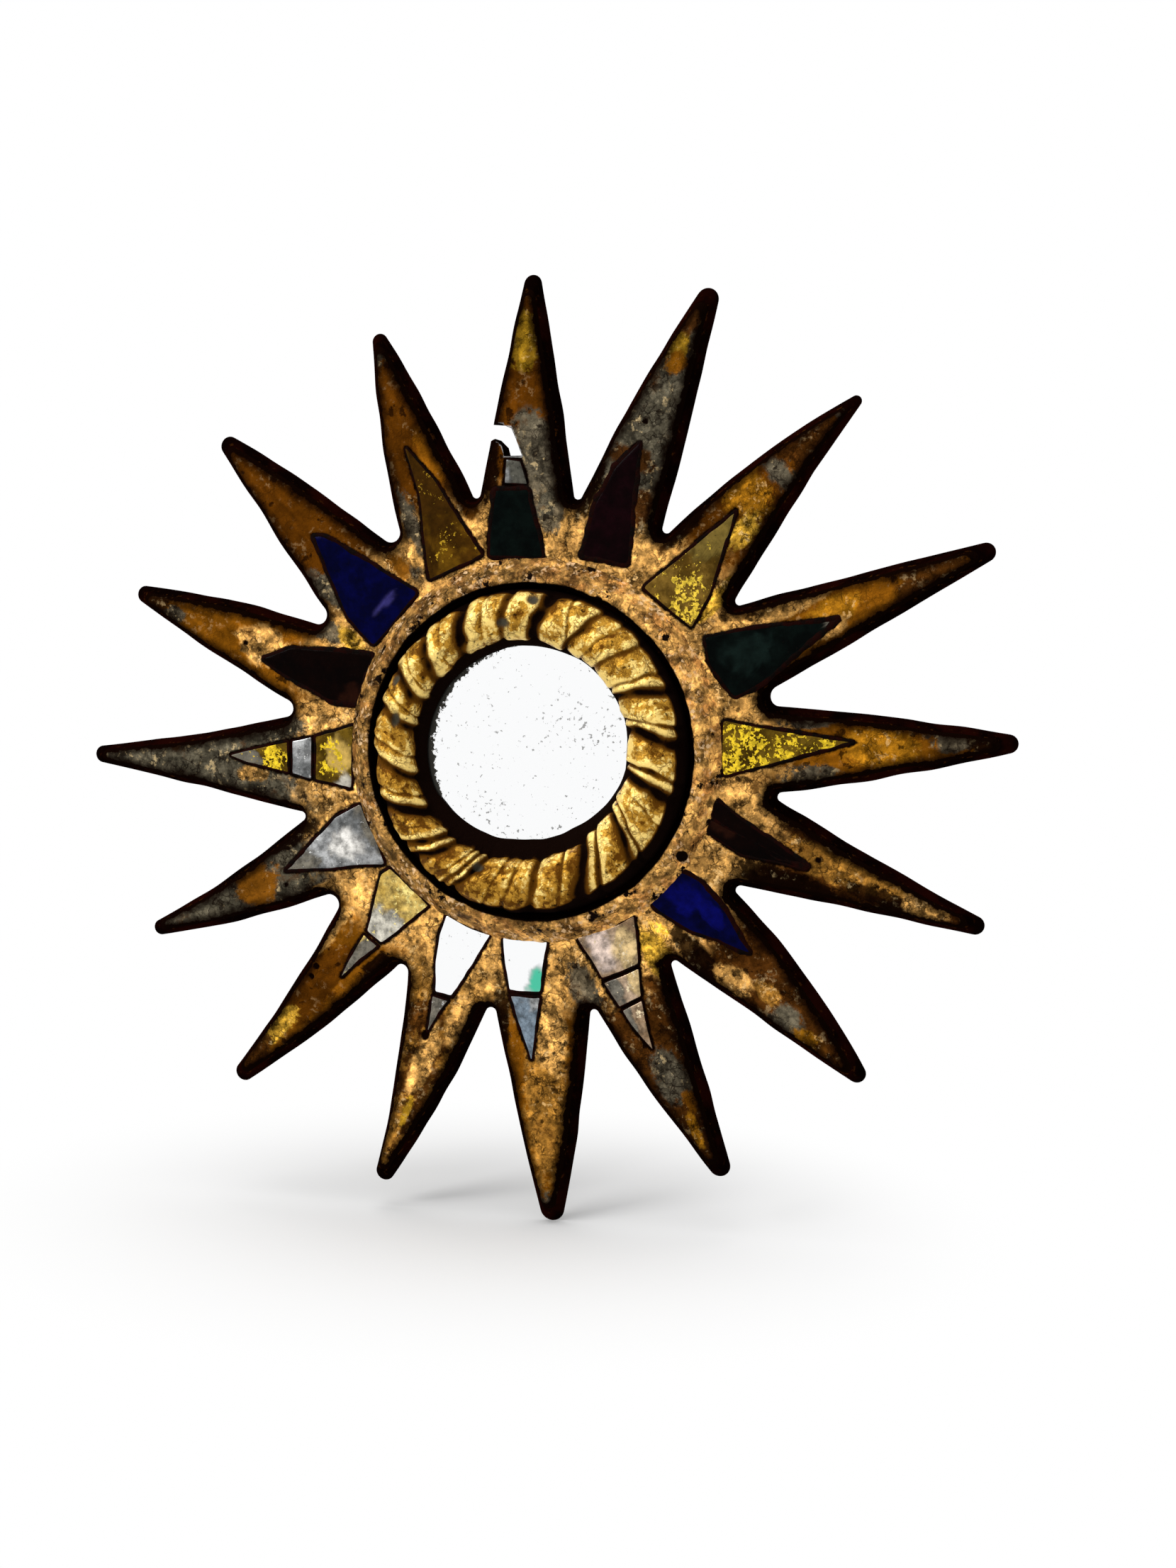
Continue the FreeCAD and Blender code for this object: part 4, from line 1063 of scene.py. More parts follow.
class SunColours(bpy.types.PropertyGroup):
    """Colours of the finishes."""
    amber: shade_property("Amber", "Amber gilding, smooth", (0.185, 0.064, 0.003))
    umber: shade_property("Umber", "Deep amber-brown gilding, smooth", (0.088, 0.027, 0.0015))
    orange: shade_property("Orange gold", "Orange-gold gilding in small patches", (0.28, 0.116, 0.006))
    olive: shade_property("Olive gold", "Greenish yellow gilding", (0.30, 0.165, 0.010))
    gold: shade_property("Bright gold", "Bright yellow gilding", (0.45, 0.25, 0.025))
    tan: shade_property("Tan", "Tan-gold gilding of the lower rays", (0.28, 0.128, 0.020))
    copper: shade_property("Copper tan", "Pinkish tan gilding", (0.50, 0.262, 0.068))
    collar_tan: shade_property("Collar tan", "Browner tone of the collar", (0.30, 0.135, 0.034))
    pewter: shade_property("Pewter", "Grey patina", (0.065, 0.056, 0.037))
    brown: shade_property("Brown", "Brown patina", (0.060, 0.020, 0.003))
    # Also used as painted shade in creases, on the collar's walls and in its pit, and in the bezel's grooves
    # and on its flanks.
    shade: shade_property("Shade", "Dark toning in hollows and at the rims", (0.0045, 0.0014, 0.0006))
    pitch: shade_property("Pitch", "The dark sides", (0.0022, 0.0006, 0.0004))
    bare_resin: shade_property("Bare resin", "Ungilded brown resin on the back", (0.034, 0.019, 0.012))
    maroon: shade_property("Maroon", "Bloom on the dark sides", (0.011, 0.0014, 0.0007))
    # Painted highlight on the bezel's crests.
    bezel_light: shade_property("Bezel light", "Rubbed crests of the twisted bezel", (0.98, 0.70, 0.21))
    bezel_gold: shade_property("Bezel gold", "Gilding of the twisted bezel", (0.48, 0.245, 0.028))
    # Painted shade on the bezel, with its brown patina in the grooves.
    bezel_brown: shade_property("Bezel brown", "Toning on the bezel", (0.105, 0.038, 0.0025))
    mastic: shade_property("Mastic", "Dark line round the glass", (0.002, 0.001, 0.0006))
    felt: shade_property("Felt", "Pad on the back", (0.050, 0.045, 0.040))
    brass: shade_property("Brass", "Hanger and screws", (0.60, 0.42, 0.16))
    lamp: shade_property("Lamp", "Colour of the studio light", (1.0, 0.995, 0.985))


class SunburstStep(bpy.types.Operator):
    """One step of the build."""
    bl_idname = "sunburst.step"
    bl_label = "Sunburst step"
    bl_options = {"REGISTER", "UNDO"}

    def execute(self, context):
        """Runs the step's own work with the scene's sizes and colours."""
        self.work(context.scene.sunburst_sizes, context.scene.sunburst_colours)
        return {"FINISHED"}

    def work(self, sizes, colours):
        """What each step does itself."""
        raise RuntimeError("this step has no work of its own")


class GildedFace(SunburstStep):
    """The gilded face of the sixteen rays, with a sunk window for each piece of glass.

    Each ray is a grid from its left edge to its right edge and from the collar to its tip. Its height is
    the face's plane with rolled edges, smooth noise, windows and dents, and short bands lead down to the
    base sheet.
    """
    bl_idname = "sunburst.gilded_face"
    bl_label = "Gilded face"

    def work(self, sizes, colours):
        columns = crowded(RAY_COLUMNS, 0.4)
        left = ray_edges(1, TOP_SHARE)
        right = ray_edges(-1, TOP_SHARE)
        root = root_grid(TOP_SHARE, ROOT_INNER, ROOT_ROWS, columns)
        flat = left[:, :, None, :] + (right - left)[:, :, None, :] * columns[None, None, :, None]
        fade = np.clip(1.0 - np.linspace(0.0, 1.0, RAY_STEPS) / 0.16, 0.0, 1.0) ** 2
        flat = flat + (root[:, -1:] - flat[:, :1]) * fade[None, :, None, None]
        whole = np.concatenate([root, flat[:, 1:]], axis=1)
        rim = np.empty(whole.shape[:-1])
        for ray in range(RAY_COUNT):
            points = whole[ray].reshape(-1, 2)
            gap = np.minimum(segment_distance(points, left[ray]), segment_distance(points, right[ray]))
            rim[ray] = gap.reshape(whole.shape[1:3])
        placed = hand_shift(whole)
        depth, joint = face_depth(placed, rim, [glass_loop(node) for node in glass_nodes])
        patina, leaf = paint_patina(placed, colours, 21)
        worn = paint_patina(placed, colours, 121)[0]
        shell = Shell()
        shell.grid(placed, depth, patina=patina, patina_worn=worn, leaf=leaf,
                   rim=np.clip(rim / 3.0, 0.0, 1.0), joint=joint)
        plain = {"patina_worn": 0.0, "leaf": 0.0, "rim": 0.0, "joint": 0.0}
        corner = {}
        for side, column in ((1, 0), (-1, -1)):
            shares = (TOP_SHARE, 0.82, 0.74, SEAM_SHARE)
            band = np.stack([hand_shift(ray_edges(side, share)) for share in shares], axis=2)
            start = depth[:, ROOT_ROWS - 1:, column]
            heights = [start] + [np.full(start.shape, value) for value in (7.62, 7.28, SEAT)]
            edge = patina[:, ROOT_ROWS - 1:, column][:, :, None, :]
            shell.grid(band, np.stack(heights, axis=2), patina=edge, **plain)
            corner[side] = band[:, :, -1]
        under_root = hand_shift(root_grid(SEAM_SHARE, ROOT_INNER, ROOT_ROWS, np.array([0.0, 1.0])))
        for under in (under_root, np.stack([corner[1], corner[-1]], axis=2)):
            shell.grid(under, SEAT, patina=0.0, **plain)
        for ray in range(RAY_COUNT):
            foot = under_root[ray, 0, ::-1]
            rims = np.concatenate([placed[ray, 0], foot])
            heights = np.concatenate([depth[ray, 0], np.full(2, SEAT)])
            shell.polygon(np.stack([rims[:, 0], -heights, rims[:, 1]], axis=-1))
        cutter = chip_cutter()
        shell.piece("gilded_face", face_material(colours), ["star_face"], 55.0, cutter)
        drop(cutter)


class DarkBase(SunburstStep):
    """The dark base sheet: a band of eight lines runs down the bevel of every ray to an eased back edge."""
    bl_idname = "sunburst.dark_base"
    bl_label = "Dark base"

    def work(self, sizes, colours):
        shares = [SEAM_SHARE, 0.55, 0.40, 0.26, 0.12, 0.02, 0.0, BACK_SHARE]
        depths = np.array([SEAT, 6.35, 5.55, 4.8, 4.05, 3.5, 3.2, BACK])
        shell = Shell()
        ends = {}
        for side in (1, -1):
            ends[side] = np.stack([hand_shift(ray_edges(side, share)) for share in shares], axis=2)
            shell.grid(ends[side], depths)
        for index in (0, -1):
            shell.grid(hand_shift(root_grid(shares[index], 0.0, 12, np.array([0.0, 1.0]))), depths[index])
            shell.grid(np.stack([ends[1][:, :, index], ends[-1][:, :, index]], axis=2), depths[index])
        cutter = chip_cutter()
        shell.piece("dark_base", dark_material(colours), ["star_base"], 50.0, cutter)
        drop(cutter)


class GlassInlays(SunburstStep):
    """The inlaid glass: rings of each outline drawn in to its middle, with ground edges and a slight tilt."""
    bl_idname = "sunburst.glass_inlays"
    bl_label = "Glass inlays"

    def work(self, sizes, colours):
        slots = {part["node"]: part["material_slot"] for part in frame["record"]["subparts"]}
        materials = {slot: glass_material(slot, recipe) for slot, recipe in GLASS.items()}
        materials["glass_mirror"] = mirror_material("glass_mirror", 0.72)
        # Each ring: how far it is drawn in, how far it lies inside the outline, and how far it is sunk.
        rings = [(share, 0.5, 0.0) for share in (1.0, 0.88, 0.76, 0.64, 0.52, 0.4, 0.3, 0.2, 0.1)]
        rings += [(0.0, 0.50, 0.0), (0.0, 0.28, 0.05), (0.0, 0.10, 0.16), (0.0, 0.0, 0.42)]
        share, inset, sunk = np.array(rings).T[:, :, None]
        bow = 0.10 * (1.0 - (1.0 - share) ** 2)
        plain = {"stain": 0.0, "stained": 0.0, "flaked": 0.0}
        for number, node in enumerate(sorted(glass_nodes)):
            loop = glass_loop(node)
            middle = loop.mean(axis=0)
            arm = loop - middle
            length = np.hypot(arm[:, 0], arm[:, 1])
            flat = middle + arm * (1.0 - inset / length)[..., None] * (1.0 - share)[..., None]
            tilt = np.random.RandomState(100 + number).uniform(-0.010, 0.010, 2)
            slope = ((flat - middle) * tilt).sum(axis=-1)
            ripple = 0.03 * wander(flat[..., 0], 3.0, flat[..., 1], 2.5, 41)
            depth = sizes.glass_proud / MM + slope + (bow - sunk) + ripple
            stain, stained, flaked = self.paint(node, flat)
            shell = Shell()
            shell.grid(flat, depth, ring=True, stain=stain, stained=stained, flaked=flaked)
            sides = np.stack([depth[-1], np.full(len(loop), SEAT)])
            shell.grid(np.stack([flat[-1], flat[-1]]), sides, ring=True, **plain)
            shell.grid(np.stack([flat[-1], np.broadcast_to(middle, loop.shape)]), SEAT, ring=True, **plain)
            shell.piece(node + "_cut", materials[slots[node]], [node], 50.0)

    def paint(self, node, flat):
        """Stain colour, how far it covers, and where flakes gather, at every point of one piece."""
        x, z = flat[..., 0], flat[..., 1]
        rough = layers(x, z, (0.40, 2.0, 2.2, 91), (0.25, 4.0, 1.0, 92))
        stain = np.zeros(flat.shape[:-1] + (3,))
        stained = np.zeros(flat.shape[:-1])
        flaked = np.zeros(flat.shape[:-1])
        # A piece's name holds the number of its ray, as in glass_08_root.
        ray = int(node[6:8])
        for *shares, finish in STAINS.get(node, ()):
            weight = smooth(-0.5, 0.8, 1.0 - ellipse(x, z, ray, shares) + 1.2 * rough)
            if finish == "flake":
                flaked = np.maximum(flaked, weight)
                continue
            stain = stain + weight[..., None] * (np.array(STAIN_TONES[finish]) - stain)
            stained = np.maximum(stained, weight)
        return stain, stained, flaked


class MasticLines(SunburstStep):
    """The dark mastic round each piece of glass: an oval bead of uneven width carried along its outline."""
    bl_idname = "sunburst.mastic_lines"
    bl_label = "Mastic lines"

    def work(self, sizes, colours):
        shell = Shell()
        turn = full_turn(8)
        for node in sorted(glass_nodes):
            loop = glass_loop(node)
            x, z = loop[:, 0], loop[:, 1]
            ahead = np.roll(loop, -1, axis=0) - np.roll(loop, 1, axis=0)
            ahead = ahead / np.hypot(ahead[:, 0], ahead[:, 1])[:, None]
            out = np.stack([ahead[:, 1], -ahead[:, 0]], axis=-1)
            out = out * np.sign(((loop - loop.mean(axis=0)) * out).sum())
            width = LINE_WIDTHS.get(node, sizes.mastic_width / MM)
            half = 0.5 * width * (1.0 + 0.35 * wander(x, 0.0, z, 1.6, 51))
            offset = 0.10 * width * wander(x, 7.0, z, 2.5, 52)
            flat = loop[:, None] + out[:, None] * (offset[:, None] + half[:, None] * np.cos(turn))[..., None]
            rise = MASTIC_RISE + 0.10 * wander(x, 9.0, z, 2.0, 53)
            shell.grid(*closed(flat, MASTIC_HEIGHT + rise[:, None] * np.sin(turn)), ring=True)
        material = plain_material("mastic", colours.mastic, colours.maroon, 400.0, 0.5, relief=0.8,
                                  specular_ior_level=0.02)
        shell.piece("mastic_lines", material, [], 60.0)


class CopperCollar(SunburstStep):
    """The copper-tan collar: a profile that climbs to an eased rim, carried round with hand-made waves."""
    bl_idname = "sunburst.copper_collar"
    bl_label = "Copper collar"

    def work(self, sizes, colours):
        # The profile: the slope up from the face, then the rim and the inner wall, as radius and height.
        slope = np.linspace(COLLAR_OUTER, 45.4, 22)
        rise = 8.75 + 4.65 * smooth(0.0, 1.0, (COLLAR_OUTER - slope) / 6.4) ** 0.9
        inner = [(45.0, 13.38), (44.6, 13.28), (44.2, 12.95), (44.0, 12.2), (44.0, 10.6), (44.0, 8.6),
                 (48.0, 8.5)]
        row, height = np.array(list(zip(slope, rise)) + inner).T[:, None, :]
        count = row.shape[1]
        # Painted shade on the inner wall: how dark each line of the profile is painted.
        wall = np.array([0.0] * (count - 5) + [0.6, 1.0, 1.0, 1.0, 1.0])
        turn = full_turn(600)[:, None]
        across, up = np.cos(turn) * COLLAR_MIDDLE, np.sin(turn) * COLLAR_MIDDLE
        radius = row + 0.30 * wander(across, row * 0.3, up, 6.0, 61)
        radius = radius + 0.10 * wander(across, row, up, 2.0, 62)
        x, z = row * np.cos(turn), row * np.sin(turn)
        lift = layers(x, z, (0.20, 0.0, 3.0, 63), (0.12, 4.0, 1.3, 64))
        lift = lift * np.concatenate([np.linspace(0.3, 1.0, 6), np.ones(count - 9), np.zeros(3)])
        # One round pit at the lower right.
        pit = turned(math.radians(-32.7), 48.3, 0.0)
        hole = bell(np.hypot(x - pit[0], z - pit[1]) / 1.5, 4)
        depth = np.minimum(height + lift, COLLAR_TOP) - 1.6 * hole
        # Painted light: brighter towards the right and darker towards the left, with a random drift in tone.
        wear = 1.15 + 0.55 * np.cos(turn) - 0.08 * np.sin(turn) + 0.15 * np.cos(2.0 * turn)
        wear = wear + 0.28 * wander(x, 8.0, z, 12.0, 65)
        # Painted shade on the inner wall and in the round pit.
        shadow = np.maximum(np.broadcast_to(wall, depth.shape), smooth(0.25, 0.7, hole))
        flat, depth, shadow, wear = closed(polar(radius, turn), depth, shadow, wear)
        shell = Shell()
        shell.grid(flat, depth, ring=True, wall=shadow, wear=wear)
        shell.piece("copper_collar", collar_material(colours), ["collar_ring"], 70.0)


class TwistedBezel(SunburstStep):
    """The twisted gold bezel: a round-crowned section carried round the mirror, sunk along slanting grooves.

    The crown ends inside on a circle with a bulge of cosine form at the lower right, and the wall below it
    runs down to a second such circle, as the opening sags at the bottom. A point sinks along its section's
    normal by the deepest of the grooves near it, each a bell curve that is steep on one side and long on
    the other, so that the lobes look like twisted folds. Noise drawn out along the grooves makes the
    creases. Painted highlights lie on the lower side of each lobe, along its inner lip, where a point
    stands above its neighbours, and more towards the top and the right. Painted shade lies on the upper
    side of each lobe, and together with brown patina in the grooves and on the flanks.
    """
    bl_idname = "sunburst.twisted_bezel"
    bl_label = "Twisted bezel"

    def section(self, turn):
        """The plain section: each line's place across the band, its height, and its radius at every angle."""
        crown = np.linspace(0.0, math.pi, 45)
        down = np.array([0.12, 0.34, 0.58, 0.80, 1.0])
        under = np.array([0.10, 0.40, 0.75])
        outside = np.array([7.6, 7.85, 7.95, 8.0])
        behind = np.array([31.5, 31.7, 31.7, 36.5])
        lip = 29.0 - 1.75 * towards(turn, 12.0) - 2.2 * np.clip(towards(turn, 300.0), 0.0, 1.0) ** 1.5
        foot = 27.9 + 0.6 * towards(turn, 190.0) - 5.0 * np.clip(towards(turn, 283.0), 0.0, 1.0) ** 1.4
        foot = np.minimum(foot, lip - 0.2)
        middle, half_band = 0.5 * (BEZEL_OUTER + lip), 0.5 * (BEZEL_OUTER - lip)
        offset = np.concatenate([outside, CROWN_HALF * np.cos(crown), np.full(12, -CROWN_HALF)])[None, :]
        height = np.concatenate([[7.05, 9.0, 11.0, 12.4], CROWN_FOOT + CROWN_RISE * np.sin(crown) ** 0.85,
                                 12.8 - 2.1 * down, [10.5, 10.4, 10.4, 10.2, 8.6, 7.05, 7.02]])[None, :]
        level = np.ones(turn.shape)
        radius = np.concatenate([BEZEL_MIDDLE + outside * level, middle + half_band * np.cos(crown),
                                 lip + (foot - lip) * down ** 0.8, foot + (behind[0] - foot) * under,
                                 behind * level], axis=1)
        return offset, height, radius

    def folds(self, turn, offset, inward):
        """How far the grooves sink each point, how dark they are with patina and painted shade, where a
        painted highlight lies on the lower side of a lobe, and where painted shade dims its upper side.
        """
        after = smooth(-0.35, 0.35, np.cos(turn))
        sink, cavity, ridge_highlight, dimmer = np.zeros((4,) + np.broadcast_shapes(turn.shape, offset.shape))
        for start, sweep, strength, half in GROOVES + FOLDS:
            bent = start + sweep * inward ** 1.1 + 0.9 * wander(offset, start, 0.0, 4.5, 71)
            gap = np.angle(np.exp(1j * (turn - np.radians(bent)))) * BEZEL_MIDDLE
            # Whether a point lies on the lower side of this groove, which takes the painted highlight.
            below = np.where(gap > 0.0, after, 1.0 - after)
            steep = bell(gap / (0.85 * half))
            long = bell(gap / (2.8 * half))
            uneven = strength * (1.0 + 0.35 * wander(offset, start + 7.0, 0.0, 3.5, 75))
            # A band of painted highlight a little way out from the groove.
            glint_band = bell((np.abs(gap) - 1.9 * half) / (0.65 + 0.35 * half))
            sink = np.maximum(sink, uneven * (below * steep + (1.0 - below) * (0.4 * steep + 0.6 * long)))
            # Darkness in the groove: brown patina and painted shade.
            cavity = np.maximum(cavity, uneven ** 1.3 * bell(gap / (1.15 * half)))
            # Painted highlight on the lower side of each lobe, painted shade on its upper side.
            ridge_highlight = np.maximum(ridge_highlight, uneven * below * glint_band)
            dimmer = np.maximum(dimmer, uneven * (1.0 - below) * bell(gap / (3.0 * half)))
        return sink, cavity, ridge_highlight, dimmer

    def work(self, sizes, colours):
        turn = full_turn(1080)[:, None]
        offset, height, radius = self.section(turn)
        inward = (CROWN_HALF - offset) / (2.0 * CROWN_HALF)
        sink, cavity, ridge_highlight, dimmer = self.folds(turn, offset, inward)
        normal = np.stack([offset / CROWN_HALF, (height - CROWN_FOOT) / CROWN_RISE], axis=-1)
        normal = normal / np.maximum(np.hypot(normal[..., 0], normal[..., 1]), 1e-6)[..., None]
        slant = turn * BEZEL_MIDDLE - np.radians(9.0) * BEZEL_MIDDLE * inward
        coarse = 0.12 * wander(slant, offset * 0.22, 0.0, 2.0, 72)
        creases = coarse + 0.05 * wander(slant, offset * 0.3, 0.0, 0.9, 76)
        x, z = (BEZEL_MIDDLE + offset) * np.cos(turn), (BEZEL_MIDDLE + offset) * np.sin(turn)
        lumps = layers(x, z, (0.34, 0.0, 4.0, 73), (0.16, 6.0, 1.7, 77))
        push = -sizes.bezel_groove / MM * sink + creases + lumps - 0.35
        bare = np.zeros(radius.shape)
        for angle, across, size in BEZEL_PITS:
            pit = turned(math.radians(angle), BEZEL_MIDDLE + across, 0.0)
            far = np.hypot(x - pit[0], z - pit[1]) / size
            push = push - 0.7 * bell(far, 4)
            bare = np.maximum(bare, bell(0.95 * far, 6) * smooth(12.9, 13.5, height))
        # What stands above the average of its neighbours gets a painted highlight.
        spread = push
        for reach in (1, 2, 4, 6):
            for axis in (0, 1):
                both = np.roll(spread, reach, axis=axis) + np.roll(spread, -reach, axis=axis)
                spread = 0.5 * spread + 0.25 * both
        crest = np.clip((push - spread) / 0.40, -0.6, 0.6)
        # Painted highlights on the lower side of each lobe and along the inner lip, painted shade on the
        # upper side, and painted light that is brighter towards the top and the right.
        crest = crest + 1.5 * ridge_highlight * (0.55 + 0.45 * smooth(6.0, -3.0, offset))
        crest = crest + 0.9 * bell((offset + 6.6) / 1.1) - 0.9 * dimmer
        crest = crest + 0.64 * smooth(-0.2, 0.8, towards(turn, 100.0)) - 0.12
        crest = crest + 0.62 * smooth(0.45, 0.95, towards(turn, -10.0))
        push = push * smooth(11.2, 13.5, height)
        # Painted shade on the outer flank and on the inner flank below the crown.
        limit = 42.2 - 1.8 * np.clip(towards(turn, 318.0), 0.0, 1.0) ** 1.5
        outside_wall_shade = np.maximum(smooth(15.6, 13.4, height), smooth(-0.6, 0.5, radius - limit))
        ragged = 0.35 * wander(x, 9.0, z, 1.5, 78)
        inside_wall_shade = smooth(14.3 + ragged, 12.6 + ragged, height)
        radius = radius + push * normal[..., 0]
        depth = height + push * normal[..., 1]
        wave = 0.30 * wander(BEZEL_MIDDLE * np.cos(turn), 0.0, BEZEL_MIDDLE * np.sin(turn), 6.0, 74)
        radius = radius + wave * smooth(7.0, 12.0, height) * np.where(radius > 41.0, 0.5, 1.0)
        inner = offset < 0.0
        over_glass = inner & (height < 10.75) & (height > 10.3)
        depth = np.where(over_glass, np.maximum(depth, dome(radius, DOME_RIM + DOME_SPACE)), depth)
        # Painted shade on the flanks, joined with the grooves' patina and painted shade.
        cavity = np.maximum(0.95 * cavity, np.where(inner, inside_wall_shade, outside_wall_shade))
        depth = np.minimum(depth, BEZEL_TOP)
        flat, depth, cavity, crest, bare = closed(polar(radius, turn), depth, cavity, crest, bare)
        shell = Shell()
        shell.grid(flat, depth, ring=True, cavity=cavity, crest=crest, bare=bare)
        shell.piece("twisted_bezel", bezel_material(colours), ["rope_bezel"], 60.0)


def dome(radius, rim):
    """Height of the domed mirror, or of a dome just in front of it, from its height at the rim."""
    return rim + DOME_RISE * (1.0 - (radius / MIRROR_RADIUS) ** 2)


class DomedMirror(SunburstStep):
    """The domed mirror: a disc on rings whose height falls with the square of the radius, hollow behind."""
    bl_idname = "sunburst.domed_mirror"
    bl_label = "Domed mirror"

    def work(self, sizes, colours):
        front = np.linspace(0.0, 30.7, 40)
        hollow = np.linspace(28.0, 0.0, 12)
        edge = [MIRROR_RADIUS, MIRROR_RADIUS, 30.8, HOLLOW_RADIUS]
        radius = np.concatenate([front, edge, hollow])[:, None]
        behind = SEAT + HOLLOW_RISE * np.clip(1.0 - (hollow / HOLLOW_RADIUS) ** 2, 0.0, 1.0)
        depth = np.concatenate([dome(front, DOME_RIM), [9.0, 7.2, SEAT, SEAT], behind])[:, None]
        flat = polar(radius, full_turn(160)[None, :])
        shell = Shell()
        shell.grid(flat, depth, ring=True, stain=0.0, stained=0.0)
        shell.piece("domed_mirror", mirror_material("silvered_dome", 0.66, True), ["mirror_glass"])


class FeltPad(SunburstStep):
    """The felt pad behind the sun: a disc with an eased, slightly fuzzy edge."""
    bl_idname = "sunburst.felt_pad"
    bl_label = "Felt pad"

    def work(self, sizes, colours):
        ease = sizes.pad_edge / MM
        turn = full_turn(240)[None, :]
        quarter = np.linspace(0.0, math.pi / 2.0, 5)
        radius = np.concatenate([np.linspace(0.0, 40.0, 14), PAD_RADIUS - ease + ease * np.sin(quarter),
                                 [PAD_RADIUS, 41.0, 0.0]])[:, None]
        depth = np.concatenate([np.zeros(14), ease - ease * np.cos(quarter), [2.6, BACK, BACK]])[:, None]
        fuzz = 0.10 * wander(PAD_RADIUS * np.cos(turn), depth, PAD_RADIUS * np.sin(turn), 1.2, 81)
        radius = radius + (fuzz - 0.1) * (radius > 30.0)
        flat = polar(radius, turn)
        depth = depth + 0.05 * (1.0 + wander(flat[..., 0], 0.0, flat[..., 1], 3.0, 82))
        shell = Shell()
        shell.grid(flat, np.clip(depth, 0.0, BACK), ring=True)
        material = plain_material("felt", colours.felt, [1.5 * part for part in colours.felt], 900.0, 0.9,
                                  relief=1.0, grain=1800.0, sheen_weight=0.4)
        shell.piece("felt_pad", material, ["back_pad"], 60.0)


class BrassHanger(SunburstStep):
    """The finish of the hanger's strap, screws and ring, which stay as the CAD has them."""
    bl_idname = "sunburst.brass_hanger"
    bl_label = "Brass hanger"

    def work(self, sizes, colours):
        dimmer = [0.55 * part for part in colours.brass]
        material = plain_material("brass", colours.brass, dimmer, 350.0, 0.25, relief=0.25, grain=700.0,
                                  metallic=1.0)
        for node in ("hanger_strap", "hanger_screws", "hanger_ring"):
            holder = frame["nodes"][node]
            holder.data.materials.clear()
            holder.data.materials.append(material)


def lamp(name, place, width, power, tone):
    """A square soft light that looks at the origin."""
    data = bpy.data.lights.new(name, "AREA")
    data.shape = "SQUARE"
    data.size = width
    data.energy = power
    data.color = tone
    made = bpy.data.objects.new(name, data)
    made.location = place
    made.rotation_euler = (-Vector(place)).to_track_quat("-Z", "Y").to_euler()
    bpy.context.scene.collection.objects.link(made)


def whiten(plain, kind, end, fade=None):
    """Mixes plain white into a surface or a background, as seen straight, off a mirror or through glass."""
    path = plain.tree.nodes.new("ShaderNodeLightPath").outputs
    seen = Wire(path["Is Camera Ray"]).most(Wire(path["Is Glossy Ray"]))
    seen = seen.most(Wire(path["Is Transmission Ray"]))
    white = put(plain.tree, kind, {"Color": (1.0, 1.0, 1.0), "Strength": 1.0}).outputs[0]
    share = fade * seen if fade else seen
    mixed = wired("ShaderNodeMixShader", {0: share, 1: plain, 2: Wire(white)})
    link(mixed, plain.tree.nodes[end].inputs["Surface"])


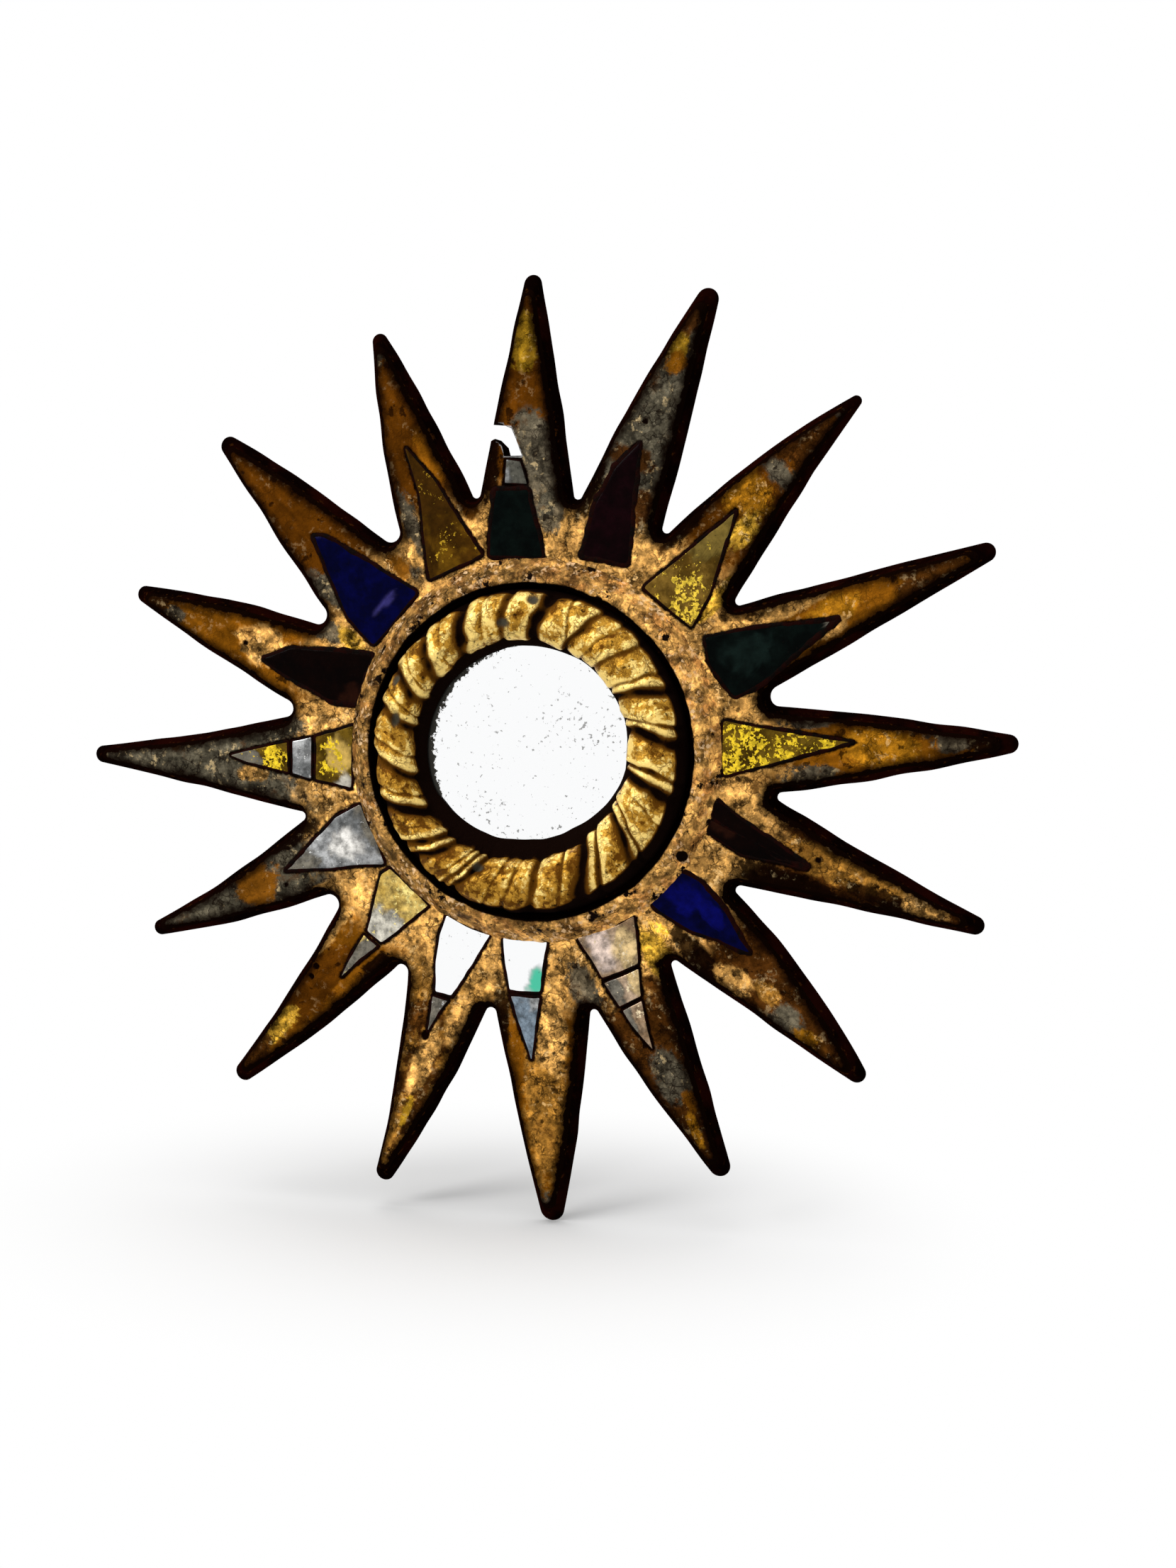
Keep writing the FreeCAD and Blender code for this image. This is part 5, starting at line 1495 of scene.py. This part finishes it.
class Stage(SunburstStep):
    """A pale grey floor that takes real shadows and whose grey is painted shade round the spot under the
    star, fading into white away from it; soft light from above and the front; and the camera.
    """
    bl_idname = "sunburst.stage"
    bl_label = "Stage"

    def work(self, sizes, colours):
        scene = bpy.context.scene
        scene.view_settings.view_transform = "Standard"
        level = sizes.floor_height
        corners = ((-1, -1), (1, -1), (1, 1), (-1, 1))
        mesh = bpy.data.meshes.new("floor")
        mesh.from_pydata([(FLOOR_HALF * x, FLOOR_HALF * y, level) for x, y in corners], [], [(0, 1, 2, 3)])
        floor = bpy.data.objects.new("floor", mesh)
        scene.collection.objects.link(floor)
        material, shader, place = new_material("floor", roughness=0.9, specular_ior_level=0.0,
                                               base_color=(FLOOR_SHADE_GREY, FLOOR_SHADE_GREY, FLOOR_SHADE_GREY, 1.0))
        # Painted shade: the floor's grey shows only in an ellipse round a spot under the star, and turns
        # white beyond it.
        centre = place.vector("ADD", (0.025, 0.0, -level)).vector("MULTIPLY", (1.0, 1.3, 1.0))
        fade = centre.length().ramp(0.0, FLOOR_FADE)
        whiten(Wire(shader.outputs[0]), "ShaderNodeEmission", "Material Output", fade)
        mesh.materials.append(material)
        world = bpy.data.worlds.new("studio")
        world.use_nodes = True
        scene.world = world
        ambient = world.node_tree.nodes["Background"]
        ambient.inputs["Color"].default_value = (1.0, 1.0, 1.0, 1.0)
        ambient.inputs["Strength"].default_value = AMBIENT
        whiten(Wire(ambient.outputs[0]), "ShaderNodeBackground", "World Output")
        lamp("front", (-0.85, -1.05, 0.75), 0.6, 12.0, colours.lamp)
        lamp("top", (-0.10, -0.12, 1.0), 0.8, 6.0, colours.lamp)
        data = bpy.data.cameras.new("camera")
        data.sensor_width = SENSOR
        data.lens = LENS
        data.clip_start = 0.01
        data.clip_end = 20.0
        camera = bpy.data.objects.new("camera", data)
        azimuth = math.radians(AZIMUTH)
        elevation = math.radians(ELEVATION)
        back = Vector((math.sin(azimuth) * math.cos(elevation), -math.cos(azimuth) * math.cos(elevation),
                       math.sin(elevation)))
        camera.location = Vector(AIM) + back * DISTANCE
        camera.rotation_euler = (-back).to_track_quat("-Z", "Y").to_euler()
        scene.collection.objects.link(camera)
        scene.camera = camera


STEPS = (GildedFace, DarkBase, GlassInlays, MasticLines, CopperCollar, TwistedBezel, DomedMirror, FeltPad,
         BrassHanger, Stage)


class SunburstPanel(bpy.types.Panel):
    """Lists the sizes, the colours and the steps."""
    bl_idname = "VIEW3D_PT_sunburst"
    bl_label = "Sunburst mirror"
    bl_space_type = "VIEW_3D"
    bl_region_type = "UI"
    bl_category = "Sunburst"

    def draw(self, context):
        for group in (context.scene.sunburst_sizes, context.scene.sunburst_colours):
            for name in type(group).__annotations__:
                self.layout.prop(group, name)
        for step in STEPS:
            self.layout.operator(step.bl_idname)


CLASSES = (SunSizes, SunColours) + STEPS + (SunburstPanel,)


def register():
    for item in CLASSES:
        bpy.utils.register_class(item)
    bpy.types.Scene.sunburst_sizes = PointerProperty(type=SunSizes)
    bpy.types.Scene.sunburst_colours = PointerProperty(type=SunColours)


def unregister():
    del bpy.types.Scene.sunburst_colours
    del bpy.types.Scene.sunburst_sizes
    for item in reversed(CLASSES):
        bpy.utils.unregister_class(item)


def main():
    """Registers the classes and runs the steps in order."""
    register()
    for step in STEPS:
        getattr(bpy.ops.sunburst, step.bl_idname.split(".")[1])()


if __name__ == "__main__":
    main()
